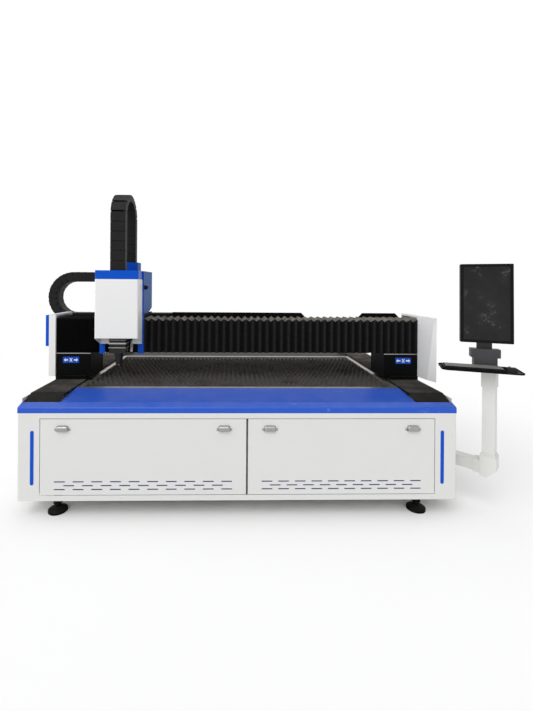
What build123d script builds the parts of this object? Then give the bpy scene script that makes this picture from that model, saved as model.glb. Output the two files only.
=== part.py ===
from build123d import *
import math
import os

# Flat-bed fiber laser cutting machine: a sheet-metal cabinet with a saw-tooth slat bed, a gantry under
# bellows, a cutting head with cable chains, two scrap drawers and an operator's console on an arm.
# While it is modelled X runs to the right along the front, Y runs back from the front face and Z runs up
# from the floor. The finished pieces are moved so that the origin is under the middle of the whole.

# Cabinet
cabinet_width = 3110
cabinet_depth = 2220
floor_gap = 130
panel_top = 745
deck_step = 87
sheet = 3
panel_return = 60
corner_radius = 12
overrun = 5
seat_gap = 0.3

# Accent strips in the front panel
strip_width = 25
strip_length = 382
strip_drop = 6
strip_inset = 103
strip_depth = 5
strip_proud = 1

# Front apron and rear deck
lip_front_height = 40
lip_depth = 60
lip_rise = 60
lip_radius = 14
apron_depth = 340
rear_deck_depth = 530
bellows_side_gap = 15
deck_side_gap = 3

# Welded frame
tube_wall = 6
foot_rows_shares = (0.05, 0.5, 0.95)
frame_lift = 20
floor_tube_width = 90
floor_tube_height = 50
frame_side_gap = 25
post_size = 100
rail_beam_width = 230
rail_beam_height = 150
rail_beam_drop = 42
rail_beam_front = 70
rail_beam_back_gap = 65
cross_tube_height = 90
cross_tube_width = 70
cross_tube_places_shares = (0.045, 0.18, 0.457, 0.735)
centre_post_size = 50

# Levelling feet
foot_inset = 238
foot_base_radius = 67
foot_base_height = 16
foot_neck_radius = 21
foot_neck_height = 38
foot_flange_radius = 31
foot_flange_height = 60

# Scrap drawers
drawer_margin = 159
drawer_gap = 4
divider_x = 55
divider_gap = 14
drawer_lift = 42
drawer_top_gap = 41
drawer_pan = 22
tray_inset = 22
tray_depth = 1600
runner_height = 16
tray_height = 210
runner_width = 40
slot_length = 76
slot_height = 8
slot_row_pitch = 27
slot_row_counts = (10, 9, 10)
slot_first_height = 38
slot_span_inset = 98
pull_length = 110
pull_body_length = 84
pull_height = 38
pull_depth = 20
pull_wall = 3
pull_tab_height = 16
pull_inset = 155
pull_end_radius = 14
pull_drop = 64

# Slat bed
bed_side_gap = 5
rim_width = 40
rim_height = 92
slat_count = 11
slat_thickness = 3
slat_lift = 22
slat_height = 78
tooth_pitch = 42
tooth_height = 26
slat_end_gap = 2
comb_thickness = 8
comb_height = 60
comb_inset = 105
comb_slot_gap = 0.5

# Guides of the long axis, on the frame's side beams
y_rail_inset = 70
y_rail_width = 34
y_rail_height = 28
y_rail_front = 110
y_rack_inset = 130
y_rack_size = 25
y_bellows_rise = 16
y_bellows_fold = 22
y_bellows_folds = 22
y_bellows_width = 250
end_plate_depth = 100
end_plate_wall = 4
end_plate_rise = 45

# Gantry
gantry_front = 566
gantry_side_gap = 10
leg_width = 292
leg_lift = 8
leg_height = 211
leg_depth = 310
leg_wall = 20
leg_flange = 20
leg_flange_drop = 34
beam_setback = 89
beam_depth = 220
beam_height = 243
beam_wall = 12
y_block_length = 110
y_block_width = 70
y_block_gap = 6
pinion_radius = 30
pinion_height = 18
pinion_shaft_radius = 9
pinion_mesh_gap = 0.4
pinion_lift = 3
gearbox_size = 80
gearbox_height = 70
motor_size = 66
motor_height = 96
x_rail_width = 23
x_rail_height = 24
x_rail_inset = 55
x_rack_width = 25
x_rack_height = 20
x_rack_inset = 50

# White end covers of the gantry
cover_thickness = 55
cover_reach_left = 16
cover_reach_right = 206
cover_back_reach = 324
cover_lift = 16
cover_height = 520
cover_nose_top = 20
cover_nose_bottom = 34
cover_facet_top = 4
cover_facet_bottom = 80
cover_rim = 14
bar_thickness = 32
bar_width = 60
bar_drop = 5
bar_height = 262
bar_setback = 4
bar_radius = 10

# Bellows over the gantry's beam
x_bellows_height = 291
x_bellows_lift = 4
x_bellows_depth = 308
x_bellows_fold = 26
x_bellows_folds = 38
bellows_wall = 2

# Trough and chain along the back of the beam
trough_wall = 3
trough_lift = 221
trough_low_height = 46
trough_high_height = 106
trough_gap = 4
trough_depth = 150
trough_raised_shares = ((-0.395, 0.42), (0.755, 0.995))
trough_slope = 60
x_chain_gap = 17
x_chain_width = 120
x_chain_height = 90
x_chain_radius = 190
x_chain_pitch = 90
x_chain_inset = 11
x_chain_lug_offset = 12
x_chain_fixed_x = 57

# Carriage on the beam
head_x = -989
carriage_width = 366
frame_plate = 12
front_plate = 25
front_plate_setback = 34
frame_height = 329
top_plate = 15
top_plate_drop = 60
frame_sweep_gap = 3
x_block_length = 90
x_block_width = 64
x_block_depth = 48
x_block_place = 120
housing_reach = 26
housing_wall = 4
housing_height = 696
housing_back_rise = 37
housing_chamfer_depth = 135
housing_flange = 45
chain_box_width = 150
chain_box_shift = 14
chain_box_depth = 120
chain_box_height = 82
chain_lug = 10

# Vertical axis and cutting head
z_rail_place = 80
z_rail_width = 20
z_rail_height = 18
z_rail_lift = 9
z_plate_width = 240
z_plate_reach = 33
z_plate_thickness = 18
z_plate_lift = 113
z_plate_height = 215
z_block_width = 48
z_block_length = 60
z_motor_size = 80
z_motor_height = 160
head_reach = 181
head_width = 348
head_cover_lift = 149
head_cover_drop = 66
head_cover_flange = 80
head_radius = 12
cap_height = 71
head_axis_reach = 96
head_body_width = 130
head_body_depth = 90
head_body_lift = 23
head_body_height = 330
head_band_height = 14
head_band_proud = 4
head_band_places_shares = (0.12, 0.3)
head_tube_radius = 34
head_tube_height = 160
holder_top_radius = 38
holder_bottom_radius = 26
holder_height = 92
nozzle_radius = 15
nozzle_tip_radius = 6
nozzle_height = 17
z_chain_width = 121
z_chain_height = 58
z_chain_radius = 165
z_chain_pitch = 75
z_chain_reach = 121
z_chain_rise = 458
link_gap = 0.6
link_edge_share = 0.74
link_flat_share = 0.36

# Operator's console
arm_pivot_out = 56
arm_pivot_y = 308
arm_angle = -45
arm_length = 330
arm_size = 80
arm_wall = 5
arm_height = 325
arm_hub_radius = 40
arm_pin_radius = 14
arm_pin_gap = 0.05
bracket_plate = 10
bracket_width = 110
bracket_lug = 16
bracket_margin = 14
knee_size = 104
knee_drop = 62
knee_rise = 92
knee_chamfer = 58
knee_sleeve = 92
knee_sleeve_length = 44
knee_collar = 92
knee_collar_height = 12
column_size = 80
column_wall = 5
sleeve_size = 92
sleeve_length = 125
column_rise = 625
console_yaw = -21
swivel_pin_radius = 18
swivel_pin_length = 40
swivel_flange_radius = 42
tray_left = 340
tray_right = 172
tray_front = 190
tray_back = 50
tray_radius = 40
tray_boss = 10
tray_sheet = 3
tray_rim = 9
keyboard_width = 382
keyboard_depth = 140
keyboard_height = 18
keyboard_left = 324
keyboard_front = 175
key_rows = 6
key_row_gap = 4
key_height = 6
key_margin = 8
mouse_width = 60
mouse_length = 108
mouse_height = 34
mouse_x = 98
mouse_front = 165
bracket_base_width = 150
bracket_base_height = 76
bracket_head_width = 190
bracket_head_height = 62
bracket_depth = 70
bracket_front = -26
upright_width = 100
upright_thickness = 12
tilt_rise = 470
tilt_back = 24
tilt_angle = -2
tilt_barrel_radius = 14
tilt_barrel_length = 60
tilt_pin_radius = 6
tilt_pin_gap = 0.05
tilt_lug = 8
tilt_lug_gap = 0.4
monitor_width = 337
monitor_height = 578
monitor_thickness = 42
monitor_drop = 272
monitor_bezel = 20
monitor_radius = 6
monitor_plate = 110
monitor_plate_thickness = 8
monitor_x = -32
screen_thickness = 4
screen_recess = 2

# Places that follow from the sizes above
half_width = cabinet_width / 2
frame_half_width = half_width - frame_side_gap
rail_beam_inner = frame_half_width - rail_beam_width
rail_beam_back = cabinet_depth - rail_beam_back_gap
foot_place = half_width - foot_inset
y_rail_place = frame_half_width - y_rail_inset
y_rack_place = frame_half_width - y_rack_inset
bellows_inner = half_width - bellows_side_gap - y_bellows_width
bed_half_width = bellows_inner - bed_side_gap
comb_place = bed_half_width - comb_inset
gantry_half_width = half_width - gantry_side_gap
leg_inner = gantry_half_width - leg_width
x_chain_loop_x = -gantry_half_width + x_chain_inset
x_chain_moving_x = head_x - x_chain_lug_offset

# The same along the depth
beam_front = gantry_front + beam_setback
cover_front_left = gantry_front - cover_reach_left
cover_front_right = gantry_front - cover_reach_right
cover_back = gantry_front + cover_back_reach
bar_front = cover_front_left + bar_setback
x_bellows_back = gantry_front + x_bellows_depth
trough_front = x_bellows_back + trough_gap
x_chain_front = trough_front + x_chain_gap
front_plate_back = gantry_front + front_plate_setback
housing_front = gantry_front - housing_reach
z_plate_front = gantry_front - z_plate_reach
cover_front_y = gantry_front - head_reach
head_axis_y = gantry_front - head_axis_reach
z_chain_front_y = gantry_front - z_chain_reach

# The same up from the floor
frame_bottom = floor_gap + frame_lift
drawer_bottom = floor_gap + drawer_lift
drawer_height = panel_top - drawer_top_gap - drawer_bottom
strip_centre_height = (floor_gap + panel_top) / 2 - strip_drop
tray_bottom = frame_bottom + floor_tube_height + runner_height
deck_height = panel_top + deck_step
rail_beam_top = deck_height - rail_beam_drop
rail_beam_bottom = rail_beam_top - rail_beam_height
rim_bottom = deck_height - rim_height
slat_bottom = rim_bottom + slat_lift
comb_top = rim_bottom + comb_height
y_bellows_top = deck_height + y_bellows_rise
leg_bottom = y_bellows_top + leg_lift
leg_top = leg_bottom + leg_height
cover_bottom = leg_bottom + cover_lift
cover_top = cover_bottom + cover_height
bar_bottom = cover_top - bar_drop - bar_height
x_bellows_bottom = leg_top + x_bellows_lift
x_bellows_top = x_bellows_bottom + x_bellows_height
trough_floor = leg_top + trough_lift
trough_low_top = trough_floor + trough_low_height
trough_high_top = trough_floor + trough_high_height
frame_top = x_bellows_bottom + frame_height
top_plate_bottom = frame_top - top_plate_drop
housing_bottom = leg_top
housing_top = housing_bottom + housing_height
housing_back_bottom = frame_top + housing_back_rise
z_rail_bottom = x_bellows_bottom + z_rail_lift
z_plate_bottom = leg_top + z_plate_lift
head_cover_bottom = leg_top + head_cover_lift
head_cover_top = housing_top - cap_height
head_body_bottom = leg_top + head_body_lift
head_body_top = head_body_bottom + head_body_height
holder_bottom = head_body_bottom - holder_height
nozzle_tip = holder_bottom - nozzle_height
z_chain_centre_height = housing_top + z_chain_rise
knee_bottom = arm_height - knee_drop
knee_top = arm_height + knee_rise
column_top = knee_top + column_rise
sleeve_bottom = column_top - sleeve_length
tilt_height = column_top + tilt_rise
monitor_bottom = tilt_height - monitor_drop


# Shared shapes

def block(x_span, y_span, z_span):
    """A box between three pairs of limits."""
    spans = (x_span, y_span, z_span)
    size = [high - low for low, high in spans]
    middle = [(low + high) / 2 for low, high in spans]
    return Pos(*middle) * Box(*size)


def along_x(outline, x_span):
    """A Y-Z outline drawn out along X."""
    face = make_face(Polyline(*outline, close=True))
    return extrude(Plane.YZ.offset(x_span[0]) * face, amount=x_span[1] - x_span[0])


def along_y(outline, y_span):
    """An X-Z outline drawn out along Y."""
    face = make_face(Polyline(*outline, close=True))
    return extrude(Plane.XZ.offset(-y_span[1]) * face, amount=y_span[1] - y_span[0])


def turned(outline):
    """An outline of radius and height, turned about the Z axis."""
    face = make_face(Polyline(*outline, close=True))
    return revolve(Plane.XZ * face, axis=Axis.Z)


def around(middle, width):
    """The pair of limits that lies evenly about a middle."""
    return (middle - width / 2, middle + width / 2)


def both_sides(shape):
    """A shape and its mirror image on the other side of the machine."""
    return [shape, mirror(shape, about=Plane.YZ)]


def group(*shapes):
    """Separate solids that share one node."""
    return Compound([solid for shape in shapes for solid in shape.solids()])


def tube_along_x(x_span, y_span, z_span, wall):
    """A rectangular tube that runs along X."""
    inner_y = (y_span[0] + wall, y_span[1] - wall)
    inner_z = (z_span[0] + wall, z_span[1] - wall)
    return block(x_span, y_span, z_span) - block(x_span, inner_y, inner_z)


def tube_along_y(x_span, y_span, z_span, wall):
    """A rectangular tube that runs along Y."""
    inner_x = (x_span[0] + wall, x_span[1] - wall)
    inner_z = (z_span[0] + wall, z_span[1] - wall)
    return block(x_span, y_span, z_span) - block(inner_x, y_span, inner_z)


def tube_along_z(x_span, y_span, z_span, wall):
    """A rectangular tube that stands along Z."""
    inner_x = (x_span[0] + wall, x_span[1] - wall)
    inner_y = (y_span[0] + wall, y_span[1] - wall)
    return block(x_span, y_span, z_span) - block(inner_x, inner_y, z_span)


# Frame and feet

def drawer_spans():
    """The X limits of the left and the right drawer front."""
    left = (-half_width + drawer_margin, divider_x - divider_gap / 2)
    right = (divider_x + divider_gap / 2, half_width - drawer_margin)
    return left, right


def tray_span(drawer_span):
    """The X limits of the scrap tray behind a drawer front."""
    return (drawer_span[0] + tray_inset, drawer_span[1] - tray_inset)


def foot_rows():
    """The Y places of the three rows of feet."""
    return [share * cabinet_depth for share in foot_rows_shares]


def base_frame():
    """Welded tubes under the bed, and the bars that the drawers run on."""
    tubes = []
    floor_tube_top = frame_bottom + floor_tube_height
    across = (-frame_half_width, frame_half_width)
    for y in foot_rows():
        y_span = around(y, floor_tube_width)
        tubes.append(tube_along_x(across, y_span, (frame_bottom, floor_tube_top), tube_wall))
        post_x = (frame_half_width - post_size, frame_half_width)
        post = tube_along_z(post_x, around(y, post_size), (floor_tube_top, rail_beam_bottom), tube_wall)
        tubes += both_sides(post)
    beam_y = (rail_beam_front, rail_beam_back)
    beam_z = (rail_beam_bottom, rail_beam_top)
    tubes += both_sides(tube_along_y((rail_beam_inner, frame_half_width), beam_y, beam_z, tube_wall))
    between = (-rail_beam_inner, rail_beam_inner)
    cross_z = (rim_bottom - cross_tube_height, rim_bottom)
    for share in cross_tube_places_shares:
        y_span = around(share * cabinet_depth, cross_tube_width)
        tubes.append(tube_along_x(between, y_span, cross_z, tube_wall))
    centre_y = cross_tube_places_shares[0] * cabinet_depth
    centre_z = (floor_tube_top, cross_z[0])
    centre_x = around(divider_x, centre_post_size)
    tubes.append(tube_along_z(centre_x, around(centre_y, centre_post_size), centre_z, tube_wall))
    runner_y = (foot_rows()[0] - floor_tube_width / 2, drawer_pan + tray_depth)
    runner_z = (floor_tube_top, tray_bottom - seat_gap)
    for drawer in drawer_spans():
        low, high = tray_span(drawer)
        tubes.append(block((low, low + runner_width), runner_y, runner_z))
        tubes.append(block((high - runner_width, high), runner_y, runner_z))
    return group(*tubes)


def levelling_feet():
    """Six bell-shaped feet under the floor tubes."""
    outline = [
        (0, 0),
        (foot_base_radius, 0),
        (foot_base_radius, foot_base_height),
        (foot_neck_radius, foot_neck_height),
        (foot_neck_radius, foot_flange_height),
        (foot_flange_radius, foot_flange_height),
        (foot_flange_radius, frame_bottom),
        (0, frame_bottom),
    ]
    foot = turned(outline)
    feet = []
    for y in foot_rows():
        feet += both_sides(Pos(foot_place, y, 0) * foot)
    return group(*feet)


# Cabinet panels

def cabinet_pan():
    """A full-width pan with rounded corners that closes the front of the cabinet."""
    outer = block((-half_width, half_width), (0, panel_return), (floor_gap, panel_top))
    inner_half = half_width - sheet
    inner_y = (sheet, panel_return + corner_radius)
    inner = block((-inner_half, inner_half), inner_y, (floor_gap + sheet, panel_top - sheet))
    outer = fillet(outer.edges().filter_by(Axis.Z).group_by(Axis.Y)[0], corner_radius)
    inner = fillet(inner.edges().filter_by(Axis.Z).group_by(Axis.Y)[0], corner_radius - sheet)
    return outer - inner


def strip_cutter(y_span, side):
    """A round-ended upright strip near one end of the front panel."""
    outline = SlotOverall(strip_length, strip_width, rotation=90)
    place = Plane.XZ.offset(-y_span[1])
    shape = extrude(place * outline, amount=y_span[1] - y_span[0])
    return Pos(side * (half_width - strip_inset), 0, strip_centre_height) * shape


def front_panel():
    """The front pan, open where the two drawers close it, with holes for the accent strips."""
    left, right = drawer_spans()
    open_x = (left[0] - drawer_gap, right[1] + drawer_gap)
    open_z = (drawer_bottom - drawer_gap, drawer_bottom + drawer_height + drawer_gap)
    panel = cabinet_pan() - block(open_x, (-overrun, panel_return), open_z)
    for side in (-1, 1):
        panel -= strip_cutter((-overrun, panel_return), side)
    return panel


def accent_strips():
    """The two strips that fill the front panel's round-ended holes."""
    return group(*[strip_cutter((-strip_proud, strip_depth), side) for side in (-1, 1)])


def side_panels():
    """Plain sheets that close the sides, between the front and the back pan."""
    y_span = (panel_return, cabinet_depth - panel_return)
    return group(*both_sides(block((half_width - sheet, half_width), y_span, (floor_gap, deck_height))))


def back_panel():
    """The back pan, a plain counterpart of the front one."""
    return mirror(cabinet_pan(), about=Plane.XZ.offset(-cabinet_depth / 2))


def apron(depth):
    """A sheet that slopes from the bed to a slanted lip across the whole front."""
    lip_top = panel_top + lip_rise
    lip_bend = panel_top + lip_front_height
    outer = along_x(
        [(0, panel_top), (0, lip_bend), (lip_depth, lip_top), (lip_depth, panel_top)],
        (-half_width, half_width),
    )
    bends = outer.edges().filter_by(Axis.X).group_by(Axis.Z)[1]
    outer = fillet(bends, lip_radius)
    inner = along_x(
        [
            (sheet, panel_top - overrun),
            (sheet, lip_bend - sheet),
            (lip_depth + overrun, lip_top - sheet),
            (lip_depth + overrun, panel_top - overrun),
        ],
        (-half_width + sheet, half_width - sheet),
    )
    inner = fillet(inner.edges().filter_by(Axis.X).group_by(Axis.Z)[1], lip_radius - sheet)
    deck_half = bellows_inner - deck_side_gap
    deck = along_x(
        [
            (lip_depth, lip_top),
            (depth, deck_height),
            (depth, deck_height - sheet),
            (lip_depth, lip_top - sheet),
        ],
        (-deck_half, deck_half),
    )
    return outer - inner + deck


def rear_deck():
    """The apron's counterpart behind the bed."""
    return mirror(apron(rear_deck_depth), about=Plane.XZ.offset(-cabinet_depth / 2))


# Scrap drawers

def drawer_slots(x_span):
    """Three staggered rows of slots near the foot of a drawer front."""
    widest = max(slot_row_counts)
    span = x_span[1] - x_span[0] - 2 * slot_span_inset - slot_length
    pitch = span / (widest - 1)
    middle = (x_span[0] + x_span[1]) / 2
    slots = []
    for row, count in enumerate(slot_row_counts):
        z_span = around(drawer_bottom + slot_first_height + row * slot_row_pitch, slot_height)
        for index in range(count):
            x = middle + (index - (count - 1) / 2) * pitch
            slots.append(block(around(x, slot_length), (-overrun, sheet + overrun), z_span))
    return slots


def drawer_front(x_span):
    """A shallow pan with slots for air, which is the drawer's face."""
    z_span = (drawer_bottom, drawer_bottom + drawer_height)
    outer = block(x_span, (0, drawer_pan), z_span)
    inner_x = (x_span[0] + sheet, x_span[1] - sheet)
    inner = block(inner_x, (sheet, drawer_pan + overrun), (z_span[0] + sheet, z_span[1] - sheet))
    return outer - inner - drawer_slots(x_span)


def scrap_tray(x_span):
    """An open box that catches what falls through the slats."""
    low, high = tray_span(x_span)
    y_span = (sheet, sheet + tray_depth)
    outer = block((low, high), y_span, (tray_bottom, tray_bottom + tray_height))
    inner_y = (y_span[0] + sheet, y_span[1] - sheet)
    inner_z = (tray_bottom + sheet, tray_bottom + tray_height + overrun)
    return outer - block((low + sheet, high - sheet), inner_y, inner_z)


def cup_pull():
    """A cup-shaped pull, open below, with a tab at each end. Its back is on Y = 0."""
    half_height = pull_height / 2
    corner = (-pull_depth, half_height - pull_depth)
    arc = RadiusArc((0, half_height), corner, -pull_depth)
    down = Line(corner, (-pull_depth, -half_height))
    back = Polyline((-pull_depth, -half_height), (0, -half_height), (0, half_height))
    face = make_face([arc, down, back])
    half_body = pull_body_length / 2
    outer = extrude(Plane.YZ.offset(-half_body) * face, amount=pull_body_length)
    outer = fillet(outer.edges().filter_by(Axis.Z).group_by(Axis.Y)[0], pull_end_radius)
    inner_x = (-half_body + pull_wall, half_body - pull_wall)
    inner_z = (-half_height - overrun, half_height - pull_depth)
    inner = block(inner_x, (-pull_depth + pull_wall, -pull_wall), inner_z)
    inner = fillet(inner.edges().filter_by(Axis.Z).group_by(Axis.Y)[0], pull_end_radius - pull_wall)
    tabs = block(around(0, pull_length), (-pull_wall, 0), around(-pull_depth / 2, pull_tab_height))
    return outer - inner + tabs


def pulls(x_span):
    """The two pulls of one drawer."""
    z = drawer_bottom + drawer_height - pull_drop
    places = (x_span[0] + pull_inset, x_span[1] - pull_inset)
    return group(*[Pos(x, 0, z) * cup_pull() for x in places])


# Slat bed

def bed_y_span():
    """The Y limits of the bed's rim."""
    return (apron_depth, cabinet_depth - rear_deck_depth)


def slat_places():
    """The Y places of the slats, evenly spread inside the rim."""
    low, high = bed_y_span()
    inside = high - low - 2 * rim_width
    pitch = inside / (slat_count + 1)
    return [low + rim_width + pitch * (index + 1) for index in range(slat_count)]


def slat_comb(x):
    """An upright plate with a slot for each slat."""
    low, high = bed_y_span()
    z_span = (rim_bottom, comb_top)
    comb = block(around(x, comb_thickness), (low + rim_width, high - rim_width), z_span)
    slot_width = slat_thickness + 2 * comb_slot_gap
    for y in slat_places():
        comb -= block(around(x, comb_thickness + overrun), around(y, slot_width), (slat_bottom, comb_top + overrun))
    return comb


def bed_rim():
    """The bed's rim of four bars, and the combs that hold the slats."""
    low, high = bed_y_span()
    z_span = (rim_bottom, deck_height)
    across = (-bed_half_width, bed_half_width)
    bars = [block(across, (low, low + rim_width), z_span), block(across, (high - rim_width, high), z_span)]
    side_x = (bed_half_width - rim_width, bed_half_width)
    bars += both_sides(block(side_x, (low + rim_width, high - rim_width), z_span))
    combs = [slat_comb(x) for x in (-comb_place, 0, comb_place)]
    return group(*bars, *combs)


def saw_slats():
    """Slats along X with saw teeth on top."""
    half_length = bed_half_width - rim_width - slat_end_gap
    count = int(2 * half_length / tooth_pitch)
    pitch = 2 * half_length / count
    tip = slat_bottom + slat_height
    root = tip - tooth_height
    outline = [(-half_length, slat_bottom), (half_length, slat_bottom), (half_length, root)]
    for index in range(count):
        right = half_length - index * pitch
        outline.append((right - pitch / 2, tip))
        outline.append((right - pitch, root))
    return group(*[along_y(outline, around(y, slat_thickness)) for y in slat_places()])


# Guides and bellows of the long axis

def y_rails():
    """Guide rails on the frame's side beams."""
    z_span = (rail_beam_top, rail_beam_top + y_rail_height)
    y_span = (y_rail_front, rail_beam_back - end_plate_wall - seat_gap)
    return group(*both_sides(block(around(y_rail_place, y_rail_width), y_span, z_span)))


def y_racks():
    """Drive racks beside the rails, as plain bars at their pitch line."""
    z_span = (rail_beam_top, rail_beam_top + y_rack_size)
    y_span = (y_rail_front, rail_beam_back - end_plate_wall - seat_gap)
    return group(*both_sides(block(around(y_rack_place, y_rack_size), y_span, z_span)))


def bellows_end_plates():
    """Sloped plates from the lip up to the front bellows, and upright plates behind the rear ones."""
    x_span = (bellows_inner, bellows_inner + y_bellows_width)
    lip_top = panel_top + lip_rise
    slope_end = lip_depth + end_plate_depth
    slope = along_x(
        [
            (lip_depth, lip_top),
            (slope_end, y_bellows_top),
            (slope_end, y_bellows_top - end_plate_wall),
            (lip_depth, lip_top - end_plate_wall),
        ],
        x_span,
    )
    rear_z = (rail_beam_top, y_bellows_top + end_plate_rise)
    rear = block(x_span, (rail_beam_back - end_plate_wall, rail_beam_back), rear_z)
    return group(*both_sides(slope), *both_sides(rear))


def folded_strip(y_span):
    """A flat strip folded to and fro along Y, on both sides of the machine."""
    top = y_bellows_top
    low = y_bellows_top - y_bellows_fold
    steps = 2 * y_bellows_folds
    step = (y_span[1] - y_span[0]) / steps
    ridge = [(y_span[0] + index * step, low if index % 2 else top) for index in range(steps + 1)]
    under = [(y, z - bellows_wall) for y, z in reversed(ridge)]
    x_span = (bellows_inner, bellows_inner + y_bellows_width)
    return group(*both_sides(along_x(ridge + under, x_span)))


def y_bellows_front():
    """Folded covers from the front lip to the gantry's legs."""
    return folded_strip((lip_depth + end_plate_depth, gantry_front - leg_flange))


def y_bellows_rear():
    """Folded covers from the gantry's legs to the back."""
    return folded_strip((gantry_front + leg_depth + leg_flange, rail_beam_back - end_plate_wall))


# Gantry

def pinion_place_y():
    """The Y place of the pinions that drive the gantry."""
    return gantry_front + leg_depth / 2


def pinion_place_x():
    """The distance of those pinions from the middle, in mesh with the racks."""
    return y_rack_place - y_rack_size / 2 - pinion_mesh_gap - pinion_radius


def gantry_legs():
    """Hollow legs, open at the back, with flanges that hold the ends of the bellows."""
    x_span = (leg_inner, gantry_half_width)
    y_span = (gantry_front, gantry_front + leg_depth)
    leg = block(x_span, y_span, (leg_bottom, leg_top))
    inner_x = (x_span[0] + leg_wall, x_span[1] - leg_wall)
    inner_y = (y_span[0] + leg_wall, y_span[1] + overrun)
    leg -= block(inner_x, inner_y, (leg_bottom + leg_wall, leg_top - leg_wall))
    flange_x = (bellows_inner, bellows_inner + y_bellows_width)
    flange_z = (leg_bottom - leg_flange_drop, leg_bottom + leg_wall)
    leg += block(flange_x, (y_span[0] - leg_flange, y_span[0]), flange_z)
    leg += block(flange_x, (y_span[1], y_span[1] + leg_flange), flange_z)
    hole = Cylinder(pinion_shaft_radius + pinion_lift, 2 * leg_wall)
    leg -= Pos(pinion_place_x(), pinion_place_y(), leg_bottom + leg_wall / 2) * hole
    return group(*both_sides(leg))


def y_guide_blocks():
    """Guide blocks under the legs, which straddle the rails."""
    z_low = rail_beam_top + y_block_gap
    rail_top = rail_beam_top + y_rail_height
    blocks = []
    for y in (gantry_front + y_block_length / 2, gantry_front + leg_depth - y_block_length / 2):
        y_span = around(y, y_block_length)
        body = block(around(y_rail_place, y_block_width), y_span, (z_low, leg_bottom))
        groove_x = around(y_rail_place, y_rail_width + 2 * seat_gap)
        body -= block(groove_x, y_span, (z_low, rail_top + seat_gap))
        blocks += both_sides(body)
    return group(*blocks)


def servo_motor():
    """A gearbox with a motor on top, which stands on Z = 0."""
    gearbox = Pos(0, 0, gearbox_height / 2) * Box(gearbox_size, gearbox_size, gearbox_height)
    motor = Pos(0, 0, gearbox_height + motor_height / 2) * Box(motor_size, motor_size, motor_height)
    return gearbox + motor


def y_motors():
    """Drive motors inside the legs."""
    motor = Pos(pinion_place_x(), pinion_place_y(), leg_bottom + leg_wall) * servo_motor()
    return group(*both_sides(motor))


def pinion(shaft_length):
    """A pinion at its pitch radius with the shaft that carries it, standing on Z = 0."""
    gear = Pos(0, 0, pinion_height / 2) * Cylinder(pinion_radius, pinion_height)
    middle = pinion_height + shaft_length / 2
    return gear + Pos(0, 0, middle) * Cylinder(pinion_shaft_radius, shaft_length)


def y_pinion(side):
    """The pinion under one leg."""
    low = rail_beam_top + pinion_lift
    shaft = leg_bottom + leg_wall - seat_gap - low - pinion_height
    return Pos(side * pinion_place_x(), pinion_place_y(), low) * pinion(shaft)


def gantry_beam():
    """The box beam from leg to leg."""
    y_span = (beam_front, beam_front + beam_depth)
    x_span = (-gantry_half_width, gantry_half_width)
    return tube_along_x(x_span, y_span, (leg_top, leg_top + beam_height), beam_wall)


def x_rail_heights():
    """The heights of the two rails on the beam's front face."""
    return (leg_top + x_rail_inset, leg_top + beam_height - x_rail_inset)


def x_rails():
    """Guide rails along the beam's front face."""
    x_span = (-gantry_half_width, gantry_half_width)
    y_span = (beam_front - x_rail_height, beam_front)
    return group(*[block(x_span, y_span, around(z, x_rail_width)) for z in x_rail_heights()])


def x_rack_front():
    """The Y place of the rack's pitch line on top of the beam."""
    return beam_front + beam_depth - x_rack_inset


def x_rack():
    """The drive rack on top of the beam, as a plain bar at its pitch line."""
    y_span = (x_rack_front(), x_rack_front() + x_rack_width)
    z_low = leg_top + beam_height
    return block((-gantry_half_width, gantry_half_width), y_span, (z_low, z_low + x_rack_height))


def end_cover_left():
    """A plain white cover on the gantry's left end."""
    inner = -gantry_half_width
    outer = inner - cover_thickness
    cover = block((outer, inner), (cover_front_left, cover_back), (cover_bottom, cover_top))
    return cover - cover_hollow((outer + sheet, inner + overrun))


def end_cover_right():
    """A white cover that reaches forward, with a facet on its front edge that widens towards the floor."""
    inner = gantry_half_width
    outer = inner + cover_thickness

    def section(z, nose, facet):
        corners = [
            (inner, cover_back),
            (outer, cover_back),
            (outer, cover_front_right),
            (outer - nose, cover_front_right + facet),
            (inner, gantry_front),
        ]
        return Pos(0, 0, z) * make_face(Polyline(*corners, close=True))

    foot = section(cover_bottom, cover_nose_bottom, cover_facet_bottom)
    head = section(cover_top, cover_nose_top, cover_facet_top)
    return loft([foot, head], ruled=True) - cover_hollow((inner - overrun, outer - sheet))


def cover_hollow(x_span):
    """The room inside an end cover, open towards the gantry."""
    y_span = (gantry_front + cover_rim, cover_back - cover_rim)
    return block(x_span, y_span, (cover_bottom + cover_rim, cover_top - cover_rim))


def end_bar():
    """A blue bar on the outer side of the left end cover."""
    outer = gantry_half_width + cover_thickness
    y_span = (bar_front, bar_front + bar_width)
    bar = block((-outer - bar_thickness, -outer), y_span, (bar_bottom, bar_bottom + bar_height))
    return fillet(bar.edges().group_by(Axis.X)[0], bar_radius)


def folded_front(x_span, sink):
    """A solid behind a front that is folded to and fro along X, set back by an amount."""
    steps = 2 * x_bellows_folds
    step = (x_span[1] - x_span[0]) / steps
    front = gantry_front + sink
    corners = [(x_span[0] + index * step, front + x_bellows_fold * (index % 2)) for index in range(steps + 1)]
    corners += [(x_span[1], x_bellows_back), (x_span[0], x_bellows_back)]
    face = Pos(0, 0, x_bellows_bottom) * make_face(Polyline(*corners, close=True))
    return extrude(face, amount=x_bellows_height)


def folded_top(x_span, sink):
    """A solid below a top that is folded to and fro along X, lowered by an amount."""
    steps = 2 * x_bellows_folds
    step = (x_span[1] - x_span[0]) / steps
    top = x_bellows_top - sink
    corners = [(x_span[0] + index * step, top - x_bellows_fold * (index % 2)) for index in range(steps + 1)]
    corners += [(x_span[1], x_bellows_bottom), (x_span[0], x_bellows_bottom)]
    return along_y(corners, (gantry_front, x_bellows_back))


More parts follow.
